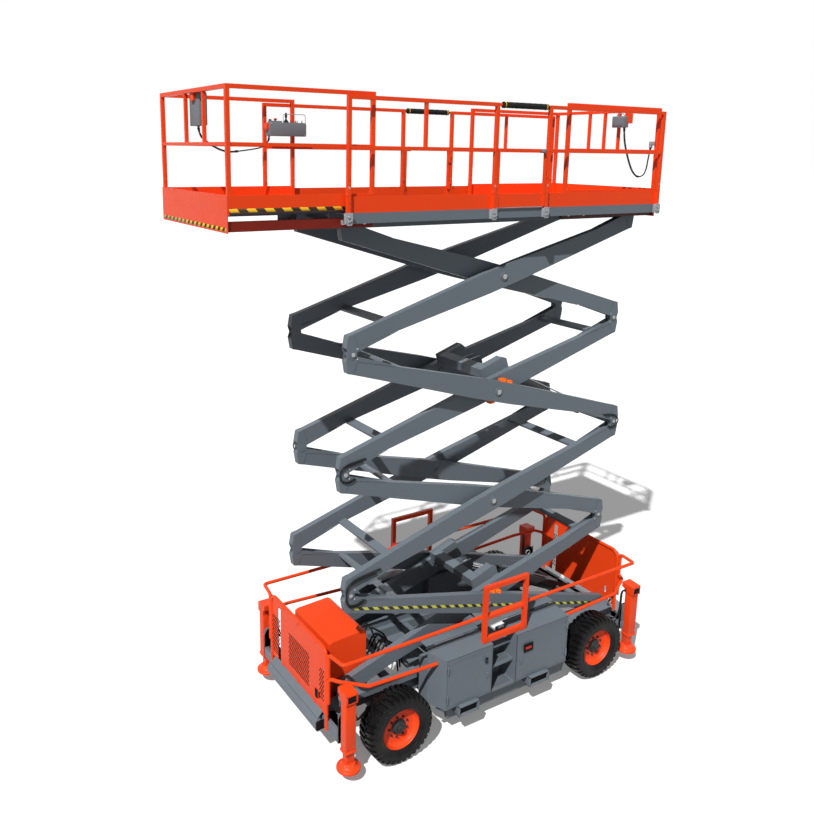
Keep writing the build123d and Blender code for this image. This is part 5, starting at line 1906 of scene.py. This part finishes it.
    def _loop(
        self, arm: Arm, sides: tuple[int, ...], reach: float, size: float, radius: float
    ) -> None:
        """Pair of hoses round the outside of the joint at an arm's upper end.

        Args:
            arm: The arm whose upper end it is.
            sides: On which sides of the machine.
            reach: How far the loop stands out, as a share.
            size: How long and high it is, as a share.
            radius: The radius of each hose.
        """
        face = arm.faces[1]
        pin = arm.at(arm.link, 0.0, 0.0)
        inboard = 1.0 if pin.x < 0 else -1.0
        hoses = Shape()
        for sign in sides:
            for i in range(2):
                grow = size * (1.0 - 0.16 * i)
                y = sign * (face + self.loop_proud + 0.004 * i)
                points = []
                for ahead, up in self.loop_line:
                    out = ahead * (reach if ahead < 0 else grow)
                    points.append((pin.x + inboard * out, y, pin.z + up * grow))
                hoses.bent(points, radius)
        piece = hoses.piece(f"{arm.body}_hose_loop", SHEATH)
        if arm.outer:
            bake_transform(piece)
        else:
            ride(arm.body, piece)

    def _clamps(self) -> None:
        """Orange hose clamps beside the middle pins."""
        for stage, count in ((1, 2), (3, 3)):
            arm = Arm(stage, True)
            blocks = Shape()
            half = Vector((0.040, 0.035, 0.026))
            knob = ((0.014, 0), (0.018, 0.003), (0.018, 0.018), (0.010, 0.024))
            for along, across in ((-0.06, 0.135), (-0.16, 0.130), (0.02, -0.130))[:count]:
                middle = arm.at(arm.link / 2 + along, across, -0.60)
                blocks.box(middle - half, middle + half, 0.010)
                blocks.turned(knob, middle - Vector((0, 0.034, 0)), (0, -1, 0), 18)
            ride(arm.body, blocks.piece(f"{arm.body}_middle_clamps", CLAMP))


@dataclass
class Cylinders:
    """Ports, pipes, valves and wipers of the two lift cylinders."""

    feet: tuple[Point, ...] = ((1.984, 0.0, 0.614), (1.984, 0.0, 3.308))
    eyes: tuple[Point, ...] = ((0.1787, 0.0, 1.4712), (0.1787, 0.0, 4.1652))
    barrel: float = 0.072
    ports: tuple[float, float] = (0.19, 1.33)
    gland: float = 1.376
    valve: float = 0.22
    nut_ring: tuple[float, float] = (1.437, 0.066)

    def build(self) -> None:
        """Makes the fittings of both cylinders."""
        for name, foot, eye in zip(("lower", "upper"), self.feet, self.eyes):
            self._fit(name, Vector(foot), Vector(eye))

    def _fit(self, name: str, foot: Vector, eye: Vector) -> None:
        """Gland nut, ports, feed pipe and holding valve of one cylinder.

        Args:
            name: The cylinder's name.
            foot: The pin at its foot.
            eye: The pin at its rod's eye.
        """
        run = (eye - foot).normalized()
        over = run.cross(Vector((0, 1, 0))).normalized()
        if over.z < 0:
            over.negate()
        pipe = Shape()
        ports = [foot + run * far for far in self.ports]
        base, tip = (port + over * (self.barrel + 0.022) for port in ports)
        pipe.bar(base, tip, 0.009, 14)
        for port, top in zip(ports, (base, tip)):
            pipe.bar(port + over * 0.06, top, 0.012, 14)
        gland = Shape().turned(
            (
                (0.0725, 0), (0.083, 0.004), (0.083, 0.052), (0.076, 0.060), (0.050, 0.062),
                (0.046, 0.070), (0.043, 0.071),
            ),
            foot + run * self.gland, run, 44,
        )
        valve = Shape().turned(
            ((0.030, 0), (0.034, 0.004), (0.034, 0.05), (0.024, 0.056)),
            foot + run * self.valve + Vector((0, -0.055, 0)), (0, -1, 0), 24,
        )
        nuts = []
        far, radius = self.nut_ring
        for cos, sin in circle(8):
            out = over * cos + Vector((0, 1, 0)) * sin
            nuts.append(Place(foot + run * far + out * radius, run, 0.62))
        body = f"{name}_cylinder_barrel"
        ride(
            body, pipe.piece(f"{name}_cylinder_pipe", STEEL),
            gland.piece(f"{name}_cylinder_gland", DARK),
            valve.piece(f"{name}_cylinder_valve", STEEL),
            scattered(f"{name}_cylinder_bolts", bolt(0.010), STEEL, nuts),
        )
        wiper = Shape().turned(
            ((0.0435, 0), (0.047, 0.003), (0.047, 0.016), (0.0435, 0.02)), eye - run * 0.075, run,
            40,
        )
        ride(f"{name}_cylinder_rod", wiper.piece(f"{name}_rod_collar", DARK))


# --- Platform ---
@dataclass
class MainDeck:
    """Grip floor, post sockets, pins, tie brackets and rail bolts."""

    floor_z: float = 6.107
    post_y: float = 0.920
    post_half: float = 0.0195
    pin_z: float = 6.345
    channel_y: float = 0.9395
    rail_bolts: tuple[float, float] = (6.712, 6.42)
    posts: dict[int, tuple[float, ...]] = field(
        default_factory=lambda: {
            -1: (-2.178, -0.413, 0.327, 2.144), 1: (-2.178, -0.327, 0.413, 2.144),
        }
    )

    def build(self) -> None:
        """Makes the platform's fittings."""
        self._floor()
        self._posts()
        self._web()
        self._rails()

    def _floor(self) -> None:
        """Raised grip studs over the main floor."""
        ride("platform", grip_floor("deck_grip", 70, 28, (-0.03, 0.0, self.floor_z)))

    def _posts(self) -> None:
        """Socket collars, lanyard pins and bolts at the foot of each post."""
        collars, pins, cords = Shape(), Shape(), Shape()
        bolts = []
        for sign, places in self.posts.items():
            for x in places:
                y = sign * self.post_y
                half = self.post_half
                collars.box((x - 0.0215, y - half, 6.262), (x + 0.0215, y + half, 6.292), 0.003)
                lock_pin(pins, (x, y, self.pin_z), sign, 0.03, half, 0.0055)
                drop = [
                    (x, y - sign * 0.028, self.pin_z), (x + 0.012, y - sign * 0.036, 6.315),
                    (x + 0.026, y - sign * 0.034, 6.280), (x + 0.030, y - sign * 0.030, 6.236),
                    (x + 0.026, y - sign * 0.022, 6.205),
                ]
                cords.bent(drop, 0.0016)
                bolts.append(Place((x, sign * self.channel_y, 6.20), (0, sign, 0), 0.65))
        ride(
            "platform", collars.piece("post_collars", ORANGE), pins.piece("post_pins", STEEL),
            cords.piece("pin_lanyards", SHEATH),
            scattered("post_bolts", bolt(0.010, 0.0007 / 0.65), ORANGE, bolts),
        )

    def _web(self) -> None:
        """Pale tie brackets at the posts on the deck channel's outer face."""
        plates, pins = Shape(), Shape()
        outline = (
            (-0.036, 6.112), (0.036, 6.112), (0.040, 6.060), (0.026, 5.992), (-0.026, 5.992),
            (-0.040, 6.060),
        )
        for sign, places in self.posts.items():
            for x in places:
                plates.prism(
                    [(x + dx, sign * self.channel_y, z) for dx, z in outline], (0, sign * 0.006, 0)
                )
                for edge in (-0.036, 0.036):
                    plates.box(
                        (x + edge - 0.003, sign * 0.902, 6.004),
                        (x + edge + 0.003, sign * 0.944, 6.104), 0.001,
                    )
                pins.bar(
                    (x - 0.010, sign * 0.944, 6.075), (x - 0.010, sign * 0.957, 6.075), 0.011, 14
                )
                pins.bar(
                    (x - 0.022, sign * 0.950, 6.022), (x + 0.022, sign * 0.950, 6.040), 0.0055, 10
                )
        ride("platform", plates.piece("tie_brackets", PALE), pins.piece("tie_pins", STEEL))

    def _rails(self) -> None:
        """Bolts on the posts of the main guard rails."""
        bolts = [
            Place((x, sign * self.post_y + sign * self.post_half, z), (0, sign, 0), 0.6)
            for sign, places in self.posts.items() for x in places for z in self.rail_bolts
        ]
        ride("platform", scattered("rail_bolts", bolt(0.009, 0.006), ORANGE, bolts))


@dataclass
class Gate:
    """A half-height swing gate under a padded lift bar."""

    side: str
    sign: int
    hinge_x: float
    latch_x: float
    pad: tuple[float, float]
    post_y: float = 0.920
    bar_z: float = 7.167
    hinge_rows: tuple[float, float] = (6.24, 6.60)

    def build(self) -> None:
        """Makes the padded bar, its caps, and the gate's hinges and latch."""
        self._bar()
        self._hardware()

    def _bar(self) -> None:
        """Foam sleeve with moulded ends and caps."""
        y = self.sign * self.post_y
        x0, x1 = sorted(self.pad)
        foam = Shape()
        profile = [(0.020, 0.0), (0.0315, 0.004)]
        steps = 22
        for i in range(steps):
            s = 0.012 + (x1 - x0 - 0.024) * i / (steps - 1)
            swell = 0.0328 - 0.0012 * abs(math.sin(i * 1.7)) - 0.0006 * (i % 3)
            profile.append((swell, s))
        profile += [(0.0315, x1 - x0 - 0.004), (0.020, x1 - x0)]
        foam.turned(profile, (x0, y, self.bar_z), (1, 0, 0), 40)
        pad = foam.piece(f"{self.side}_gate_pad", FOAM, 50)
        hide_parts(f"{self.side}_gate_bar")
        core = Shape()
        low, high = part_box(f"{self.side}_gate_bar")
        core.bar((low.x + 0.001, y, self.bar_z), (high.x - 0.001, y, self.bar_z), 0.013, 20)
        caps = Shape()
        for start, way in ((x0, 1), (x1, -1)):
            caps.turned(
                (
                    (0.0300, 0.020), (0.0338, 0.021), (0.0342, 0.023), (0.0342, 0.028),
                    (0.0338, 0.030), (0.0300, 0.031),
                ),
                (start, y, self.bar_z), (way, 0, 0), 36,
            )
        body = f"{self.side}_gate_bar_body"
        ride(
            body, pad, core.piece(f"{self.side}_gate_core", DARK),
            caps.piece(f"{self.side}_gate_caps", YELLOW),
        )

    def _hardware(self) -> None:
        """Spring hinges at the hinge post and a latch on the other side."""
        y = self.sign * self.post_y
        hinges, latch = Shape(), Shape()
        x = self.hinge_x
        for z in self.hinge_rows:
            for half, radius, steps in ((0.040, 0.0145, 16), (0.048, 0.006, 12)):
                hinges.bar((x, y, z - half), (x, y, z + half), radius, steps)
        low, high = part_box(f"{self.side}_gate")
        edge = low.x if self.latch_x < self.hinge_x else high.x
        way = 1 if edge == low.x else -1
        latch.box(
            (edge + way * 0.02, y - 0.020, 6.688), (edge + way * 0.085, y + 0.020, 6.730), 0.006
        )
        latch.turned(
            ((0.016, 0), (0.019, 0.003), (0.019, 0.020), (0.012, 0.026)),
            (edge + way * 0.062, y + self.sign * 0.018, 6.705), (0, self.sign, 0), 24,
        )
        ride(
            f"{self.side}_gate_body", hinges.piece(f"{self.side}_gate_hinges", PALE),
            latch.piece(f"{self.side}_gate_latch", BOX_GREY),
        )


@dataclass
class RollOutDeck:
    """Warning strips, rollers, rail fittings and floor grip of one sliding deck."""

    end: str
    sign: int
    body: str
    node: str
    inner_x: float
    outer_x: float
    board_y: float = 0.868
    floor_z: float = 6.121
    roller_gaps: tuple[float, float] = (0.10, 0.34)
    roller_z: float = 6.018
    rail_y: float = 0.844
    post_half: float = 0.0185
    pin_z: float = 6.37

    def build(self) -> None:
        """Makes the deck's fittings."""
        self._strips()
        self._floor()
        self._rollers()
        self._rail_fittings()

    def _strips(self) -> None:
        """Striped strips along the side boards and the end plate."""
        tape, edge, end_tape = Shape(), Shape(), Shape()
        x0, x1 = sorted((self.inner_x, self.outer_x))
        low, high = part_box(self.node)
        for _, sign in SIDES:
            y = sign * self.board_y
            tape.box((x0 + 0.02, y, 6.138), (x1 - 0.01, y + sign * 0.0010, 6.172), 0.0003)
            edge.box((x0 + 0.02, y, 6.112), (x1 - 0.01, y + sign * 0.0014, 6.136), 0.0003)
        outer = low.x if self.sign < 0 else high.x
        end_tape.box((outer, -0.84, 5.972), (outer + self.sign * 0.0010, 0.84, 6.006), 0.0003)
        ride(
            self.body, tape.piece(f"{self.end}_deck_tape", WIDE_HAZARD),
            end_tape.piece(f"{self.end}_end_tape", HAZARD),
            edge.piece(f"{self.end}_deck_edging", DARK),
        )

    def _floor(self) -> None:
        """Raised grip studs over the sliding floor."""
        middle = (self.inner_x + self.outer_x) / 2 - 0.015
        ride(self.body, grip_floor(f"{self.end}_deck_grip", 24, 31, (middle, 0.0, self.floor_z)))

    def _rollers(self) -> None:
        """Track rollers under the deck's inner end, with their nuts."""
        wheel = ((0.020, 0), (0.026, 0.003), (0.026, 0.010), (0.020, 0.012))
        places = []
        rollers = Shape()
        for _, sign in SIDES:
            for offset in self.roller_gaps:
                x = self.inner_x + self.sign * offset
                rollers.turned(wheel, (x, sign * 0.8395, self.roller_z), (0, sign, 0), 28)
                places.append(Place((x, sign * 0.851, self.roller_z), (0, sign, 0), 0.8))
        ride(
            self.body, rollers.piece(f"{self.end}_deck_rollers", STEEL),
            scattered(f"{self.end}_roller_nuts", bolt(0.010, 0.007), STEEL, places),
        )

    def _rail_fittings(self) -> None:
        """Foot sockets, pins and sleeves of the sliding deck's rail."""
        posts = (-3.347, -1.873) if self.sign < 0 else (0.679, 2.153)
        sockets, pins = Shape(), Shape()
        for _, sign in SIDES:
            y, half = sign * self.rail_y, self.post_half
            for x in posts:
                sockets.box((x - half, y - half, 6.125), (x + half, y + half, 6.300), 0.003)
                lock_pin(pins, (x, y, self.pin_z), sign, 0.028, half, 0.005)
        ride(
            self.body, sockets.piece(f"{self.end}_rail_sockets", ORANGE),
            pins.piece(f"{self.end}_rail_pins", STEEL),
        )


# --- Controls ---
@dataclass
class Controls:
    """Junction box on the end rail, hand console on the side rail, and the outlet box."""

    body: str = "front_deck_body"
    box_low: Point = (-3.3277, -0.136, 6.893)
    box_high: Point = (-3.2497, 0.118, 7.200)
    console_low: Point = (-2.212, 0.7047, 6.830)
    console_high: Point = (-1.767, 0.8247, 6.975)
    console_y: float = 0.7647
    switches: tuple[float, ...] = (-1.925, -1.885, -1.845, -1.805)

    def build(self) -> None:
        """Makes the boxes and their fittings."""
        self._boxes()
        self._console_fittings()
        self._outlet()

    def _boxes(self) -> None:
        """Moulded housings that stand for the CAD boxes."""
        shell = Shape()
        shell.box(self.box_low, self.box_high, 0.010)
        (_, y0, z0), (x1, y1, z1) = self.box_low, self.box_high
        shell.box((x1 - 0.001, y0 + 0.012, z0 + 0.012), (x1 + 0.006, y1 - 0.012, z1 - 0.012), 0.003)
        (a0, b0, c0), (a1, b1, c1) = self.console_low, self.console_high
        shell.box((a0, b0, c0), (a1, b1, c1), 0.012)
        shell.box((-2.190, b0 + 0.012, c1 - 0.004), (-2.060, b1 - 0.012, c1 + 0.017), 0.005)
        gland = ((0.0125, 0), (0.0125, 0.007), (0.0115, 0.008), (0.0115, 0.016), (0.0095, 0.021))
        for cord_end in ((-3.292, -0.016, z0 + 0.002), (-2.196, 0.766, c0 + 0.002)):
            shell.turned(gland, cord_end, DOWN, 20)
        housing = shell.piece("control_housings", BOX_GREY)
        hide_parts("control_box")
        clip = Shape()
        for low, high, edge in (
            ((-3.352, -0.05, 7.120), (-3.326, 0.03, 7.196), 0.003),
            ((-2.240, 0.735, 6.900), (-2.211, 0.795, 6.968), 0.003),
            ((-2.150, 0.8235, 6.860), (-2.110, 0.8300, 6.960), 0.002),
            ((-1.870, 0.8235, 6.860), (-1.830, 0.8300, 6.960), 0.002),
        ):
            clip.box(low, high, edge)
        screws = []
        for y in (y0 + 0.022, y1 - 0.022):
            for z in (z0 + 0.022, z1 - 0.022):
                screws.append(Place((x1 + 0.0055, y, z), (1, 0, 0), 0.45))
        for x in (a0 + 0.016, a1 - 0.016):
            for z in (c0 + 0.016, c1 - 0.016):
                screws.append(Place((x, b0 - 0.0002, z), (0, -1, 0), 0.40))
        ride(
            self.body, housing, clip.piece("control_brackets", ORANGE),
            scattered("control_screws", bolt(), STEEL, screws),
        )

    def _console_fittings(self) -> None:
        """Joystick with boot, stop button, switches and guard bail."""
        stick, knobs, bail, red, plate = Shape(), Shape(), Shape(), Shape(), Shape()
        top = self.console_high[2]
        y = self.console_y
        stick.turned(
            (
                (0.034, 0), (0.034, 0.004), (0.030, 0.007), (0.031, 0.011), (0.024, 0.015),
                (0.025, 0.019), (0.018, 0.024), (0.0185, 0.028), (0.010, 0.034), (0.008, 0.048),
                (0.0125, 0.058), (0.0140, 0.078), (0.0135, 0.098), (0.008, 0.108),
            ),
            (-1.990, y, top - 0.001), UP, 28,
        )
        red.turned(
            (
                (0.012, 0), (0.012, 0.010), (0.019, 0.012), (0.020, 0.018), (0.016, 0.026),
                (0.006, 0.029),
            ),
            (-2.125, y - 0.012, top + 0.0165), UP, 28,
        )
        switch = ((0.009, 0), (0.009, 0.006), (0.005, 0.009), (0.004, 0.024), (0.0055, 0.028))
        for i, x in enumerate(self.switches):
            knobs.turned(switch, (x, y + 0.018 * (-1) ** i, top - 0.001), (0.1, 0, 1), 16)
        knobs.turned(
            ((0.017, 0), (0.017, 0.012), (0.014, 0.018)), (-2.168, y + 0.030, top + 0.0165), UP, 20
        )
        plate.box((-2.045, y - 0.048, top), (-1.785, y + 0.048, top + 0.0016), 0.0005)
        for x, inboard in ((-2.050, 0.02), (-1.780, -0.02)):
            bend = [
                (x, y - 0.055, top - 0.004), (x, y - 0.056, top + 0.05),
                (x, y - 0.052, top + 0.085), (x + inboard, y - 0.050, top + 0.090),
            ]
            bail.bent(bend, 0.004)
        bail.bar((-2.032, y - 0.050, top + 0.0895), (-1.798, y - 0.050, top + 0.0895), 0.004, 12)
        ride(
            self.body, stick.piece("drive_stick", DARK), red.piece("stop_button", RED),
            knobs.piece("function_switches", DARK), plate.piece("console_plate", SHEATH),
            bail.piece("console_bail", STEEL),
        )

    def _outlet(self) -> None:
        """Weatherproof outlet box with its lid, and the coupling on the rear rail."""
        box = Shape()
        box.box((2.046, -0.402, 7.011), (2.138, -0.216, 7.146), 0.009)
        box.box((2.040, -0.384, 7.030), (2.047, -0.234, 7.128), 0.003)
        box.turned(((0.016, 0), (0.016, 0.012), (0.013, 0.020)), (2.100, -0.373, 7.012), DOWN, 24)
        grip = Shape().bent(
            [
                (2.092, -0.37, 7.143), (2.092, -0.37, 7.172), (2.092, -0.31, 7.180),
                (2.092, -0.25, 7.172), (2.092, -0.25, 7.143),
            ],
            0.005,
        )
        coupling = Shape()
        coupling.turned(
            (
                (0.016, 0), (0.021, 0.003), (0.021, 0.020), (0.017, 0.022), (0.017, 0.030),
                (0.020, 0.032), (0.020, 0.05), (0.014, 0.056),
            ),
            (2.112, -0.790, 6.770), UP, 28,
        )
        coupling.box((2.0965, -0.8455, 6.7935), (2.1355, -0.7745, 6.8415), 0.003)
        ride(
            "rear_deck_body", box.piece("outlet_box", BOX_GREY), grip.piece("outlet_handle", STEEL),
            coupling.piece("hose_coupling", STEEL),
        )


# --- Making ---
FRAME: dict[str, Any] = {}


def paint_nodes() -> None:
    """Gives every CAD node the finish of its material slot."""
    slots = {row["node"]: row["material_slot"] for row in FRAME["record"]["subparts"]}
    for name, item in FRAME["nodes"].items():
        finish = NODE_FINISH.get(name, SLOT_FINISH[slots[name]])
        for place in item.material_slots:
            place.material = finish.material()
        LOG.info("%s is finished in %s", name, finish.name)


def main() -> None:
    """Builds the whole machine on its frame."""
    logging.basicConfig(level=logging.INFO, format="%(name)s: %(message)s")
    FRAME.update(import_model())
    StageSet().build()
    for cord in CORDS:
        cord.build()
    paint_nodes()
    for end, x, sign in (("front", -1.534, -1), ("rear", 1.534, 1)):
        for side, out in SIDES:
            corner = f"{end}_{side}"
            Wheel(corner, (x, out * 0.976, 0.414), out).build()
            Outrigger(corner, sign * 2.176, out, sign).build()
    for part in (EndGuards(), Cabinets(), Chassis(), ScissorStack(), Cylinders(), MainDeck()):
        part.build()
    Gate("left", -1, -0.394, 0.308, (-0.349, 0.278)).build()
    Gate("right", 1, 0.394, -0.308, (0.349, -0.278)).build()
    RollOutDeck("front", -1, "front_deck_body", "front_deck", -1.854, -3.374).build()
    RollOutDeck("rear", 1, "rear_deck_body", "rear_deck", 0.660, 2.180).build()
    Controls().build()


if __name__ == "__main__":
    main()
